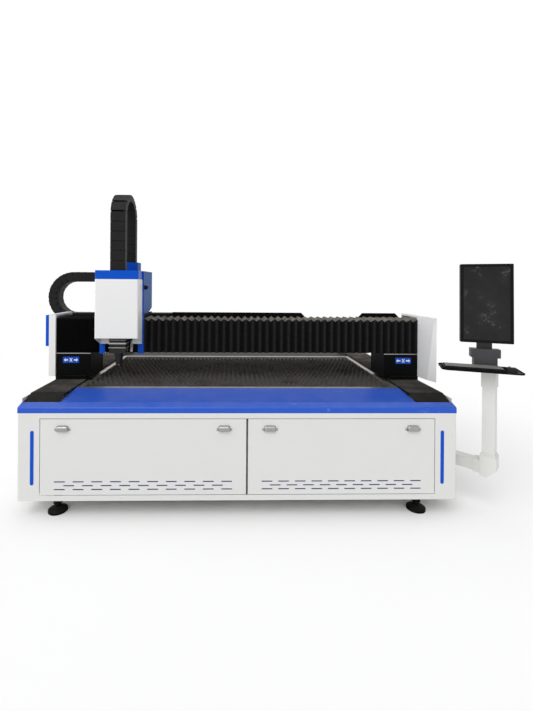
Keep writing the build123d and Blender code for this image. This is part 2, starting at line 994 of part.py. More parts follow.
def folded_hood(x_span):
    """A bellows over the front and the top of the beam, whose folds meet in a mitre along the upper edge."""
    outer = folded_front(x_span, 0) & folded_top(x_span, 0)
    inner = folded_front(x_span, bellows_wall) & folded_top(x_span, bellows_wall)
    return outer - inner


def x_bellows_left():
    """The bellows from the left end cover to the carriage."""
    return folded_hood((-gantry_half_width, head_x - carriage_width / 2))


def x_bellows_right():
    """The bellows from the carriage to the right end cover."""
    return folded_hood((head_x + carriage_width / 2, gantry_half_width))


def chain_trough():
    """A trough behind the beam, whose front wall stands higher in two stretches."""
    y_span = (trough_front, trough_front + trough_depth)
    x_span = (-gantry_half_width, gantry_half_width)
    floor = block(x_span, y_span, (trough_floor, trough_floor + trough_wall))
    back = block(x_span, (y_span[1] - trough_wall, y_span[1]), (trough_floor, trough_low_top))
    crest = [(x_span[0], trough_floor), (x_span[0], trough_low_top)]
    for low_share, high_share in trough_raised_shares:
        low = low_share * gantry_half_width
        high = high_share * gantry_half_width
        crest.append((low - trough_slope, trough_low_top))
        crest.append((low, trough_high_top))
        crest.append((high - trough_slope, trough_high_top))
        crest.append((high, trough_low_top))
    crest += [(x_span[1], trough_low_top), (x_span[1], trough_floor)]
    front = along_y(crest, (y_span[0] - trough_wall, y_span[0]))
    stop_x = (x_chain_fixed_x, x_chain_fixed_x + chain_lug)
    stop = block(stop_x, (x_chain_front, x_chain_front + x_chain_width), (trough_floor, trough_low_top))
    return floor + back + front + stop


# Cable chains

def link_outline(pitch, height):
    """One link seen from the side: as long as the pitch at its middle, shorter at its edges."""
    half_long = (pitch - link_gap) / 2
    half_short = half_long * link_edge_share
    half_flat = height / 2 * link_flat_share
    quarter = [(half_short, -height / 2), (half_long, -half_flat), (half_long, half_flat), (half_short, height / 2)]
    return quarter + [(-x, -z) for x, z in quarter]


def chain_places(start, heading, run_in, radius, run_out, turn, pitch):
    """Places and headings of the links along a straight run, a half circle and a second straight run."""
    half_circle = math.pi * radius
    total = run_in + half_circle + run_out
    count = round(total / pitch)
    along = (math.cos(heading), math.sin(heading))
    side = (-turn * along[1], turn * along[0])
    centre = [start[i] + run_in * along[i] + radius * side[i] for i in range(2)]
    places = []
    for index in range(count):
        s = (index + 1 / 2) * total / count
        if s < run_in:
            places.append((start[0] + s * along[0], start[1] + s * along[1], heading))
        elif s < run_in + half_circle:
            angle = (s - run_in) / radius
            out = [-side[i] * math.cos(angle) + along[i] * math.sin(angle) for i in range(2)]
            places.append((centre[0] + radius * out[0], centre[1] + radius * out[1], heading + turn * angle))
        else:
            back = s - run_in - half_circle
            foot = [centre[i] + radius * side[i] - back * along[i] for i in range(2)]
            places.append((foot[0], foot[1], heading + turn * math.pi))
    return places, total / count


def x_chain():
    """The cable chain behind the beam: an upper run, a loop on the left and a lower run in the trough."""
    low = trough_floor + trough_wall + seat_gap + x_chain_height / 2
    start = (x_chain_moving_x, low + 2 * x_chain_radius)
    run_in = x_chain_moving_x - x_chain_loop_x
    run_out = x_chain_fixed_x - x_chain_loop_x
    places, pitch = chain_places(start, math.pi, run_in, x_chain_radius, run_out, 1, x_chain_pitch)
    face = make_face(Polyline(*link_outline(pitch, x_chain_height), close=True))
    links = []
    for x, z, heading in places:
        turned_face = Pos(x, z) * Rot(0, 0, math.degrees(heading)) * face
        plane = Plane.XZ.offset(-x_chain_front - x_chain_width)
        links.append(extrude(plane * turned_face, amount=x_chain_width))
    return group(*links)


def z_chain():
    """The cable chain from the top of the head, over a loop, to the box on the carriage."""
    start = (z_chain_front_y, head_cover_top + cap_height)
    run_in = z_chain_centre_height - start[1]
    run_out = z_chain_centre_height - housing_top - chain_box_height
    places, pitch = chain_places(start, math.pi / 2, run_in, z_chain_radius, run_out, -1, z_chain_pitch)
    face = make_face(Polyline(*link_outline(pitch, z_chain_height), close=True))
    links = []
    for y, z, heading in places:
        turned_face = Pos(y, z) * Rot(0, 0, math.degrees(heading)) * face
        links.append(extrude(Plane.YZ.offset(head_x - z_chain_width / 2) * turned_face, amount=z_chain_width))
    return group(*links)


# Carriage

def carriage_sides():
    """The X limits of the carriage."""
    return around(head_x, carriage_width)


def x_pinion_y():
    """The Y place of the pinion that drives the carriage."""
    return x_rack_front() - pinion_mesh_gap - pinion_radius


def carriage_frame():
    """Two L-shaped end plates, a front plate for the guides and a top plate for the motor."""
    low, high = carriage_sides()
    shelf = leg_top + beam_height + x_rack_height + frame_sweep_gap
    outline = [
        (gantry_front, x_bellows_bottom),
        (front_plate_back, x_bellows_bottom),
        (front_plate_back, shelf),
        (x_bellows_back, shelf),
        (x_bellows_back, frame_top),
        (gantry_front, frame_top),
    ]
    frame = along_x(outline, (low, low + frame_plate)) + along_x(outline, (high - frame_plate, high))
    inside = (low + frame_plate, high - frame_plate)
    front_y = (front_plate_back - front_plate, front_plate_back)
    frame += block(inside, front_y, (x_bellows_bottom, frame_top))
    frame += block(inside, (front_plate_back, x_bellows_back), (top_plate_bottom, top_plate_bottom + top_plate))
    hole = Cylinder(pinion_shaft_radius + pinion_lift, 2 * top_plate)
    return frame - Pos(head_x, x_pinion_y(), top_plate_bottom + top_plate / 2) * hole


def x_guide_blocks():
    """Guide blocks on the back of the front plate, which straddle the beam's rails."""
    y_span = (front_plate_back, front_plate_back + x_block_depth)
    groove_y = (beam_front - x_rail_height - seat_gap, y_span[1])
    blocks = []
    for z in x_rail_heights():
        for x in (head_x - x_block_place, head_x + x_block_place):
            x_span = around(x, x_block_length)
            body = block(x_span, y_span, around(z, x_block_width))
            blocks.append(body - block(x_span, groove_y, around(z, x_rail_width + 2 * seat_gap)))
    return group(*blocks)


def carriage_housing():
    """The blue cover over the carriage, open in front, with the boxes that hold the chains' ends."""
    low, high = carriage_sides()
    slope_front = x_bellows_back - housing_chamfer_depth
    outline = [
        (housing_front, housing_bottom),
        (housing_front, housing_top),
        (x_bellows_back, housing_top),
        (x_bellows_back, housing_back_bottom),
        (slope_front, frame_top),
        (gantry_front, frame_top),
        (gantry_front, housing_bottom),
    ]
    housing = along_x(outline, (low, high))
    inside_back = x_bellows_back - housing_wall
    hollow = [
        (housing_front + housing_wall, housing_bottom - overrun),
        (housing_front + housing_wall, housing_top - housing_wall),
        (inside_back, housing_top - housing_wall),
        (inside_back, frame_top - overrun),
        (gantry_front + overrun, frame_top - overrun),
        (gantry_front + overrun, housing_bottom - overrun),
    ]
    housing -= along_x(hollow, (low + housing_wall, high - housing_wall))
    window_x = (low + housing_flange, high - housing_flange)
    window_z = (housing_bottom - overrun, housing_top - housing_flange)
    housing -= block(window_x, (housing_front - overrun, housing_front + 2 * housing_wall), window_z)
    box_y = around(z_chain_front_y + 2 * z_chain_radius, chain_box_depth)
    box_z = (housing_top, housing_top + chain_box_height)
    housing += block(around(head_x + chain_box_shift, chain_box_width), box_y, box_z)
    lug_x = (x_chain_moving_x, x_chain_moving_x + chain_lug)
    lug_y = (x_bellows_back, x_chain_front + x_chain_width)
    return housing + block(lug_x, lug_y, (housing_top - x_chain_height, housing_top))


def x_motor():
    """The motor that drives the carriage along the beam."""
    return Pos(head_x, x_pinion_y(), top_plate_bottom + top_plate) * servo_motor()


def x_pinion():
    """The pinion that runs along the beam's rack."""
    low = leg_top + beam_height + pinion_lift
    shaft = top_plate_bottom + top_plate - seat_gap - low - pinion_height
    return Pos(head_x, x_pinion_y(), low) * pinion(shaft)


def z_rails():
    """Upright guide rails on the carriage's front plate."""
    back = front_plate_back - front_plate
    y_span = (back - z_rail_height, back)
    places = (head_x - z_rail_place, head_x + z_rail_place)
    z_span = (z_rail_bottom, frame_top)
    return group(*[block(around(x, z_rail_width), y_span, z_span) for x in places])


def z_motor():
    """The motor of the vertical axis, on top of the front plate."""
    y_low = front_plate_back - front_plate
    y_span = (y_low, y_low + z_motor_size)
    return block(around(head_x, z_motor_size), y_span, (frame_top, frame_top + z_motor_height))


# Cutting head

def z_plate():
    """The plate that carries the head, with four guide blocks that straddle the upright rails."""
    back = z_plate_front + z_plate_thickness
    top = z_plate_bottom + z_plate_height
    plate = block(around(head_x, z_plate_width), (z_plate_front, back), (z_plate_bottom, top))
    rail_front = front_plate_back - front_plate - z_rail_height
    block_back = rail_front + z_rail_height * 3 / 4
    for x in (head_x - z_rail_place, head_x + z_rail_place):
        for z in (z_plate_bottom + z_block_length, top - z_block_length):
            body = block(around(x, z_block_width), (back, block_back), around(z, z_block_length))
            groove_x = around(x, z_rail_width + 2 * seat_gap)
            plate += body - block(groove_x, (rail_front - seat_gap, block_back), around(z, z_block_length))
    return plate


def head_hollow(z_span):
    """The room inside the head's cover and cap."""
    low, high = around(head_x, head_width)
    room = block((low + sheet, high - sheet), (cover_front_y + sheet, z_plate_front - sheet), z_span)
    return fillet(room.edges().filter_by(Axis.Z).group_by(Axis.Y)[0], head_radius - sheet)


def head_cover():
    """The white cover of the head: a front and two sides whose lower edges drop towards the back."""
    side = [
        (cover_front_y, head_cover_bottom),
        (z_plate_front, head_cover_bottom - head_cover_drop),
        (z_plate_front, head_cover_top),
        (cover_front_y, head_cover_top),
    ]
    low, high = around(head_x, head_width)
    cover = along_x(side, (low, high))
    cover = fillet(cover.edges().filter_by(Axis.Z).group_by(Axis.Y)[0], head_radius)
    inner_z = (head_cover_bottom - head_cover_drop - overrun, head_cover_top + overrun)
    cover -= head_hollow(inner_z)
    inner_y = (cover_front_y + head_radius, z_plate_front + overrun)
    window_x = (low + head_cover_flange, high - head_cover_flange)
    return cover - block(window_x, inner_y, inner_z)


def head_cap():
    """The blue cap on top of the head's cover."""
    low, high = around(head_x, head_width)
    z_span = (head_cover_top, head_cover_top + cap_height)
    cap = block((low, high), (cover_front_y, z_plate_front), z_span)
    cap = fillet(cap.edges().filter_by(Axis.Z).group_by(Axis.Y)[0], head_radius)
    return cap - head_hollow((z_span[0] - overrun, z_span[1] - sheet))


def cutting_head():
    """The head's body with two bands, its mounting pad, the beam tube above and the nozzle holder below."""
    y_span = around(head_axis_y, head_body_depth)
    x_span = around(head_x, head_body_width)
    body = block(x_span, y_span, (head_body_bottom, head_body_top))
    body += block(x_span, (y_span[1], z_plate_front), (z_plate_bottom, head_body_top))
    height = head_body_top - head_body_bottom
    for share in head_band_places_shares:
        z_low = head_body_bottom + share * height
        band_x = (x_span[0] - head_band_proud, x_span[1] + head_band_proud)
        band_y = (y_span[0] - head_band_proud, y_span[1])
        body += block(band_x, band_y, (z_low, z_low + head_band_height))
    axis = Pos(head_x, head_axis_y, 0)
    tube_middle = head_body_top + head_tube_height / 2
    body += axis * Pos(0, 0, tube_middle) * Cylinder(head_tube_radius, head_tube_height)
    holder = [
        (0, holder_bottom),
        (holder_bottom_radius, holder_bottom),
        (holder_top_radius, head_body_bottom),
        (0, head_body_bottom),
    ]
    return body + axis * turned(holder)


def nozzle():
    """The copper nozzle at the very bottom."""
    outline = [
        (0, nozzle_tip),
        (nozzle_tip_radius, nozzle_tip),
        (nozzle_radius, holder_bottom),
        (0, holder_bottom),
    ]
    return Pos(head_x, head_axis_y, 0) * turned(outline)


# Operator's console

def arm_pivot():
    """The upright axis on which the arm swings."""
    return Pos(half_width + arm_pivot_out, arm_pivot_y, 0)


def arm_place():
    """The frame in which X runs along the arm from its pivot."""
    return arm_pivot() * Rot(0, 0, arm_angle)


def column_place():
    """The upright axis of the column, at the arm's end."""
    return arm_place() * Pos(arm_length, 0, 0)


def console_place():
    """The frame of the tray and the screen, which face the operator."""
    return Pos(*column_place().position) * Rot(0, 0, console_yaw)


def arm_bracket():
    """A plate on the cabinet's side with two lugs and the pin that the arm swings on."""
    low = arm_height - arm_size / 2
    high = arm_height + arm_size / 2
    z_span = (low - bracket_lug - bracket_margin, high + bracket_lug + bracket_margin)
    y_span = around(0, bracket_width)
    plate = block((-arm_pivot_out, -arm_pivot_out + bracket_plate), y_span, z_span)
    reach = (-arm_pivot_out, 0)
    lug_y = around(0, 2 * arm_hub_radius)
    lug_spans = ((low - seat_gap - bracket_lug, low - seat_gap), (high + seat_gap, high + seat_gap + bracket_lug))
    for lug_z in lug_spans:
        plate += block(reach, lug_y, lug_z)
        plate += Pos(0, 0, sum(lug_z) / 2) * Cylinder(arm_hub_radius, bracket_lug)
    plate += Pos(0, 0, arm_height) * Cylinder(arm_pin_radius, arm_size + 2 * bracket_lug)
    return arm_pivot() * plate


def arm_tube():
    """The arm's tube with the hub that turns on the bracket's pin."""
    x_span = (0, arm_length - knee_size / 2)
    y_span = around(0, arm_size)
    tube = tube_along_x(x_span, around(0, 2 * arm_hub_radius), around(arm_height, arm_size), arm_wall)
    tube -= block((-overrun, arm_hub_radius), y_span, around(arm_height, arm_size))
    hub = Pos(0, 0, arm_height) * Cylinder(arm_hub_radius, arm_size)
    web = block((0, arm_hub_radius), around(0, 2 * arm_hub_radius), around(arm_height, arm_size))
    bore = Pos(0, 0, arm_height) * Cylinder(arm_pin_radius + arm_pin_gap, arm_size + overrun)
    return arm_place() * (tube + hub + web - bore)


def knee():
    """The elbow that turns the arm up into the column, with a sleeve over the arm's end."""
    body = Pos(0, 0, (knee_bottom + knee_top) / 2) * Box(knee_size, knee_size, knee_top - knee_bottom)
    heel = body.edges().filter_by(Axis.Y).group_by(Axis.Z)[0].sort_by(Axis.X)[-1]
    body = chamfer(heel, knee_chamfer)
    collar = Pos(0, 0, knee_top + knee_collar_height / 2) * Box(knee_collar, knee_collar, knee_collar_height)
    sleeve_x = (-knee_size / 2 - knee_sleeve_length, -knee_size / 2)
    sleeve = block(sleeve_x, around(0, knee_sleeve), around(arm_height, knee_sleeve))
    socket = block(sleeve_x, around(0, 2 * arm_hub_radius), around(arm_height, arm_size))
    return column_place() * (body + collar + sleeve - socket)


def column():
    """The upright tube with a sleeve at its top that takes the tray's pin."""
    low = knee_top + knee_collar_height
    span = around(0, column_size)
    tube = tube_along_z(span, span, (low, sleeve_bottom), column_wall)
    sleeve_middle = (sleeve_bottom + column_top) / 2
    sleeve = Pos(0, 0, sleeve_middle) * Box(sleeve_size, sleeve_size, column_top - sleeve_bottom)
    bore_middle = column_top - swivel_pin_length / 2
    bore = Pos(0, 0, bore_middle) * Cylinder(swivel_pin_radius + arm_pin_gap, swivel_pin_length)
    return column_place() * (tube + sleeve - bore)


def tray_floor():
    """The height of the tray's upper face."""
    return column_top + tray_boss + tray_sheet


def console_tray():
    """A shallow tray with a rim, and the flange and pin that it swivels on."""
    low = column_top + tray_boss
    x_span = (-tray_left, tray_right)
    y_span = (-tray_front, tray_back)
    tray = block(x_span, y_span, (low, low + tray_rim))
    tray = fillet(tray.edges().filter_by(Axis.Z), tray_radius)
    inner_x = (x_span[0] + tray_sheet, x_span[1] - tray_sheet)
    inner_y = (y_span[0] + tray_sheet, y_span[1] - tray_sheet)
    room = block(inner_x, inner_y, (low + tray_sheet, low + tray_rim + overrun))
    tray -= fillet(room.edges().filter_by(Axis.Z), tray_radius - tray_sheet)
    flange_z = (column_top + seat_gap, low)
    tray += Pos(0, 0, sum(flange_z) / 2) * Cylinder(swivel_flange_radius, flange_z[1] - flange_z[0])
    pin_length = swivel_pin_length - seat_gap
    pin_middle = column_top + seat_gap - pin_length / 2
    tray += Pos(0, 0, pin_middle + seat_gap) * Cylinder(swivel_pin_radius, pin_length)
    return console_place() * tray


def keyboard():
    """A keyboard whose rows of keys stand up from its case."""
    low = tray_floor()
    x_span = (-keyboard_left, -keyboard_left + keyboard_width)
    y_span = (-keyboard_front, -keyboard_front + keyboard_depth)
    case = block(x_span, y_span, (low, low + keyboard_height))
    row_depth = (keyboard_depth - 2 * key_margin + key_row_gap) / key_rows
    row_x = (x_span[0] + key_margin, x_span[1] - key_margin)
    row_z = (low + keyboard_height, low + keyboard_height + key_height)
    for row in range(key_rows):
        front = y_span[0] + key_margin + row * row_depth
        case += block(row_x, (front, front + row_depth - key_row_gap), row_z)
    return console_place() * case


def mouse():
    """A computer mouse with a rounded back."""
    low = tray_floor()
    profile = [(0, 0), (mouse_length, 0)]
    base = Line(profile[0], profile[1])
    back = ThreePointArc(profile[1], (mouse_length / 2, mouse_height), profile[0])
    body = extrude(Plane.YZ * make_face([base, back]), amount=mouse_width)
    return console_place() * Pos(mouse_x - mouse_width / 2, -mouse_front, low) * body


def monitor_bracket():
    """A stepped stand on the tray with an upright that carries the screen's tilting pin."""
    low = tray_floor()
    step = low + bracket_base_height
    top = step + bracket_head_height
    y_span = (bracket_front, bracket_front + bracket_depth)
    stand = block(around(monitor_x, bracket_base_width), y_span, (low, step))
    stand += block(around(monitor_x, bracket_head_width), y_span, (step, top))
    upright_y = around(tilt_back, upright_thickness)
    upright_top = tilt_height - tilt_barrel_radius - tilt_lug_gap
    stand += block(around(monitor_x, upright_width), upright_y, (top, upright_top))
    stand += block(around(monitor_x, tilt_barrel_length), upright_y, (upright_top, tilt_height))
    pin_length = tilt_barrel_length + 2 * (tilt_lug + tilt_lug_gap)
    axis = Pos(monitor_x, tilt_back, tilt_height) * Rot(0, 90, 0)
    stand += axis * Cylinder(tilt_barrel_radius, tilt_barrel_length)
    stand += axis * Cylinder(tilt_pin_radius, pin_length)
    return console_place() * stand


def tilt_place():
    """The frame of the screen, tilted about its pin."""
    return console_place() * Pos(monitor_x, tilt_back, tilt_height) * Rot(tilt_angle, 0, 0)


def monitor_faces():
    """The Y limits of the screen's housing, in front of the tilting pin."""
    back = -tilt_barrel_radius - seat_gap - monitor_plate_thickness
    return (back - monitor_thickness, back)


def monitor_case():
    """The upright screen's housing, with the plate and lugs that hold it on the pin."""
    front, back = monitor_faces()
    low = monitor_bottom - tilt_height
    z_span = (low, low + monitor_height)
    case = block(around(0, monitor_width), (front, back), z_span)
    case = fillet(case.edges().filter_by(Axis.Y), monitor_radius)
    glass_x = around(0, monitor_width - 2 * monitor_bezel)
    glass_z = (z_span[0] + monitor_bezel, z_span[1] - monitor_bezel)
    case -= block(glass_x, (front - overrun, front + screen_recess + screen_thickness), glass_z)
    plate_y = (back, back + monitor_plate_thickness)
    case += block(around(0, monitor_plate), plate_y, around(0, monitor_plate))
    for side in (-1, 1):
        x = side * (tilt_barrel_length / 2 + tilt_lug_gap + tilt_lug / 2)
        lug = block(around(x, tilt_lug), (back, 0), around(0, 2 * tilt_barrel_radius))
        lug += Pos(x, 0, 0) * Rot(0, 90, 0) * Cylinder(tilt_barrel_radius, tilt_lug)
        case += lug - Pos(x, 0, 0) * Rot(0, 90, 0) * Cylinder(tilt_pin_radius + tilt_pin_gap, 2 * tilt_lug)
    return tilt_place() * case


def screen():
    """The glass, set back behind the bezel."""
    front = monitor_faces()[0] + screen_recess
    low = monitor_bottom - tilt_height + monitor_bezel
    glass_x = around(0, monitor_width - 2 * monitor_bezel)
    glass_z = (low, low + monitor_height - 2 * monitor_bezel)
    return tilt_place() * block(glass_x, (front, front + screen_thickness), glass_z)


def all_pieces():
    """Every piece under its own name."""
    left, right = drawer_spans()
    return {
        "base_frame": base_frame(),
        "front_panel": front_panel(),
        "accent_strips": accent_strips(),
        "side_panels": side_panels(),
        "back_panel": back_panel(),
        "front_apron": apron(apron_depth),
        "rear_deck": rear_deck(),
        "bed_rim": bed_rim(),
        "saw_slats": saw_slats(),
        "bellows_end_plates": bellows_end_plates(),
        "y_rails": y_rails(),
        "y_racks": y_racks(),
        "y_bellows_front": y_bellows_front(),
        "y_bellows_rear": y_bellows_rear(),
        "levelling_feet": levelling_feet(),
        "arm_bracket": arm_bracket(),
        "drawer_front_left": drawer_front(left),
        "scrap_tray_left": scrap_tray(left),
        "pulls_left": pulls(left),
        "drawer_front_right": drawer_front(right),
        "scrap_tray_right": scrap_tray(right),
        "pulls_right": pulls(right),
        "gantry_beam": gantry_beam(),
        "gantry_legs": gantry_legs(),
        "end_cover_left": end_cover_left(),
        "end_cover_right": end_cover_right(),
        "end_bar": end_bar(),
        "y_guide_blocks": y_guide_blocks(),
        "y_motors": y_motors(),
        "y_pinion_left": y_pinion(-1),
        "y_pinion_right": y_pinion(1),
        "x_rails": x_rails(),
        "x_rack": x_rack(),
        "chain_trough": chain_trough(),
        "x_chain": x_chain(),
        "x_bellows_left": x_bellows_left(),
        "x_bellows_right": x_bellows_right(),
        "carriage_frame": carriage_frame(),
        "x_guide_blocks": x_guide_blocks(),
        "carriage_housing": carriage_housing(),
        "x_motor": x_motor(),
        "x_pinion": x_pinion(),
        "z_rails": z_rails(),
        "z_motor": z_motor(),
        "z_chain": z_chain(),
        "z_plate": z_plate(),
        "head_cover": head_cover(),
        "head_cap": head_cap(),
        "cutting_head": cutting_head(),
        "nozzle": nozzle(),
        "arm_tube": arm_tube(),
        "knee": knee(),
        "column": column(),
        "console_tray": console_tray(),
        "keyboard": keyboard(),
        "mouse": mouse(),
        "monitor_bracket": monitor_bracket(),
        "monitor_case": monitor_case(),
        "screen": screen(),
    }


pieces = all_pieces()
whole = Compound(list(pieces.values())).bounding_box()
to_origin = Pos(-whole.center().X, -whole.center().Y, -whole.min.Z)

os.makedirs("parts", exist_ok=True)
for name, piece in pieces.items():
    export_step(to_origin * piece, f"parts/{name}.step")
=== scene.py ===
"""Finishes and fine pieces of a flat-bed fiber laser cutting machine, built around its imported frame."""

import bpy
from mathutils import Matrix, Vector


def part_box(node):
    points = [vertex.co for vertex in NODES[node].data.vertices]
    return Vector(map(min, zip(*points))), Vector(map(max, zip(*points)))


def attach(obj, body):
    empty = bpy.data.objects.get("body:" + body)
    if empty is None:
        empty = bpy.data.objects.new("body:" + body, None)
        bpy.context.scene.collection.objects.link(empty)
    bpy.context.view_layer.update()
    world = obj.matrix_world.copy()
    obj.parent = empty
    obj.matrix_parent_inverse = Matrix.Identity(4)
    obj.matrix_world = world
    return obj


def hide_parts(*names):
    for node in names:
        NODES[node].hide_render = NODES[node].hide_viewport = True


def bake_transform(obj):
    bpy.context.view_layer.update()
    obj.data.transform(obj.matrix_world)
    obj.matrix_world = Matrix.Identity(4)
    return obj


bl_info = {
    "name": "Laser cutting machine",
    "version": (1, 0, 0),
    "blender": (4, 5, 0),
    "location": "View3D > Sidebar > Laser cutter",
    "description": "Dresses the frame of a laser cutting machine with finishes and fine pieces",
    "category": "Object",
}

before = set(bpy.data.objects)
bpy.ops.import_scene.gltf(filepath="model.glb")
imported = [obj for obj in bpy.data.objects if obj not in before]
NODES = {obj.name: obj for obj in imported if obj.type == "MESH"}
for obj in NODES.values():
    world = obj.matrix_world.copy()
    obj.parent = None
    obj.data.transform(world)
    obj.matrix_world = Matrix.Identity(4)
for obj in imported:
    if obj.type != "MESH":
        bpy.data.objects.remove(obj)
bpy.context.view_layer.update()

import math
from functools import cache

import bmesh
import bpy
import numpy as np
from bpy.props import FloatProperty, FloatVectorProperty, IntProperty, PointerProperty
from mathutils import Matrix, Vector

# The photograph's frame and its camera in pixels, and a sensor's width in millimetres
IMAGE_WIDTH = 533
IMAGE_HEIGHT = 711
FOCAL_PIXELS = 383
AXIS_PIXEL_X = 240.5
HORIZON_PIXEL_Y = 284
SENSOR = 36.0
WHITE = (1.0, 1.0, 1.0, 1.0)


# Sizes and colours that a user would change

def length(name, default, description):
    """A size in metres."""
    return FloatProperty(name=name, description=description, default=default, min=0.0, unit="LENGTH",
                         precision=4)


def colour(name, default, description):
    """A finish's own colour."""
    return FloatVectorProperty(name=name, description=description, default=default, subtype="COLOR",
                               size=3, min=0.0, max=1.0)


class MachineColours(bpy.types.PropertyGroup):
    """Colours of the machine's finishes."""

    white: colour("White covers", (0.76, 0.76, 0.75), "Powder coat of the covers")
    panel: colour("Cabinet panels", (0.66, 0.66, 0.65), "Powder coat of the cabinet")
    blue: colour("Blue panels", (0.0, 0.072, 0.5), "Paint of the apron, the cap and the strips")
    # Painted shade: the strips' blue darkened, for the blades that stand in the shade of the air slots
    dark_blue: colour("Slot blue", (0.0, 0.012, 0.13), "Paint of the blades in the air slots")
    # Painted shade: a darker copy of the blue, which the carriage's housing shows on all faces but those that
    # face forward
    dull_blue: colour("Carriage blue", (0.02, 0.09, 0.32), "Textured paint of the carriage's housing")
    black: colour("Black paint", (0.003, 0.003, 0.0034), "Paint of the gantry and the small frames")
    grey: colour("Arm grey", (0.66, 0.66, 0.64), "Powder coat of the console's arm")
    steel: colour("Bare steel", (0.46, 0.45, 0.43), "Rim, rails and trays")
    slag: colour("Burnt steel", (0.12, 0.112, 0.106), "Slats blackened by cutting")
    key: colour("Key caps", (0.15, 0.15, 0.152), "Caps of the keyboard")
    zinc: colour("Zinc", (0.36, 0.355, 0.35), "Cup pulls and screws")
    cloth: colour("Bellows cloth", (0.0045, 0.0045, 0.005), "Coated cloth of the bellows")
    plastic: colour("Chain plastic", (0.011, 0.011, 0.0115), "Links of the cable chains")
    dark_plastic: colour("Dark plastic", (0.005, 0.005, 0.0055), "Screen case, keyboard and mouse")
    stand: colour("Stand grey", (0.05, 0.05, 0.055), "Stepped stand under the screen")
    screen: colour("Screen glass", (0.012, 0.012, 0.013), "Glass of the dark screen")
    copper: colour("Copper", (0.72, 0.36, 0.2), "Nozzle tip")
    dust: colour("Dust", (0.4, 0.37, 0.33), "Workshop dust")
    floor: colour("Floor", (0.95, 0.95, 0.95), "Studio floor")


class MachineSizes(bpy.types.PropertyGroup):
    """Sizes of the pieces that are added to the frame."""

    cloth_thickness: length("Cloth", 0.0015, "Thickness of the bellows cloth")
    hood_fold: length("Hood fold", 0.026, "Depth of a fold of the gantry's bellows")
    hood_folds: IntProperty(name="Hood folds", description="Folds of each gantry bellows", default=38, min=2)
    strip_fold: length("Strip fold", 0.014, "Depth of a fold of the long bellows")
    front_folds: IntProperty(name="Front folds", description="Folds of the front bellows", default=30, min=2)
    rear_folds: IntProperty(name="Rear folds", description="Folds of the rear bellows", default=60, min=2)
    cable_radius: length("Cable", 0.009, "Radius of a cable in a chain")
    slot_length: length("Slot", 0.076, "Length of an air slot in a drawer front")
    slot_height: length("Slot height", 0.008, "Height of an air slot")
    key_pitch: length("Key pitch", 0.019, "Distance from key to key")
    screw_radius: length("Screw", 0.005, "Radius of a small screw's head")
    plate_width: length("Axis plate", 0.135, "Width of the plate with the axis letter")
    plate_height: length("Axis plate height", 0.052, "Height of that plate")


class MachineSettings(bpy.types.PropertyGroup):
    """All settings of the machine."""

    colours: PointerProperty(type=MachineColours, name="Colours", description="Colours of the finishes")
    sizes: PointerProperty(type=MachineSizes, name="Sizes", description="Sizes of the added pieces")


def settings():
    """All settings of the machine in this scene."""
    return bpy.context.scene.laser_cutter


# Nodes and node groups

def add(tree, kind, inputs=None, **options):
    """One node. Inputs are values or other nodes' output sockets, by name or by number."""
    node = tree.nodes.new(kind)
    for name, value in options.items():
        setattr(node, name, value)
    for key, value in (inputs or {}).items():
        if isinstance(value, bpy.types.NodeSocket):
            tree.links.new(value, node.inputs[key])
        else:
            node.inputs[key].default_value = value
    return node


def new_tree(name, kind, inputs, outputs):
    """An empty node group with named sockets. Returns the tree, its input node and its output node."""
    tree = bpy.data.node_groups.new(name, kind)
    for in_out, sockets in (("INPUT", inputs), ("OUTPUT", outputs)):
        for socket, socket_type, default in sockets:
            made = tree.interface.new_socket(socket, in_out=in_out, socket_type="NodeSocket" + socket_type)
            if default is not None:
                made.default_value = default
    return tree, tree.nodes.new("NodeGroupInput"), tree.nodes.new("NodeGroupOutput")


def math_node(tree, operation, *values):
    """The result of an operation on numbers."""
    return add(tree, "ShaderNodeMath", dict(enumerate(values)), operation=operation).outputs[0]


def vector_node(tree, operation, inputs):
    """The result of an operation on vectors."""
    return add(tree, "ShaderNodeVectorMath", inputs, operation=operation).outputs[0]


def noise(tree, vector, scale, detail=3.0, rough=0.55):
    """Soft noise between 0 and 1."""
    inputs = {"Vector": vector, "Scale": scale, "Detail": detail, "Roughness": rough}
    return add(tree, "ShaderNodeTexNoise", inputs).outputs["Fac"]


def step_between(tree, value, low, high):
    """A smooth step from 0 at low to 1 at high."""
    inputs = {"Value": value, "From Min": low, "From Max": high}
    return add(tree, "ShaderNodeMapRange", inputs, interpolation_type="SMOOTHSTEP").outputs["Result"]


def mixed(tree, factor, first, second):
    """A colour between two colours."""
    # A Mix node's number, vector and colour sockets share their names, so the colours go by number
    inputs = {"Factor": factor, 6: first, 7: second}
    return add(tree, "ShaderNodeMix", inputs, data_type="RGBA").outputs[2]


@cache
def mottle_group():
    """Slow drift of a colour over a surface."""
    sockets = [("Vector", "Vector", None), ("Color", "Color", None), ("Scale", "Float", 3.0),
               ("Amount", "Float", 0.1)]
    tree, start, end = new_tree("Mottle", "ShaderNodeTree", sockets, [("Color", "Color", None)])
    drift = noise(tree, start.outputs["Vector"], start.outputs["Scale"], 4.0)
    centred = math_node(tree, "SUBTRACT", drift, 0.5)
    value = math_node(tree, "MULTIPLY_ADD", centred, start.outputs["Amount"], 1.0)
    inputs = {"Value": value, "Color": start.outputs["Color"]}
    shade = add(tree, "ShaderNodeHueSaturation", inputs)
    tree.links.new(shade.outputs["Color"], end.inputs["Color"])
    return tree


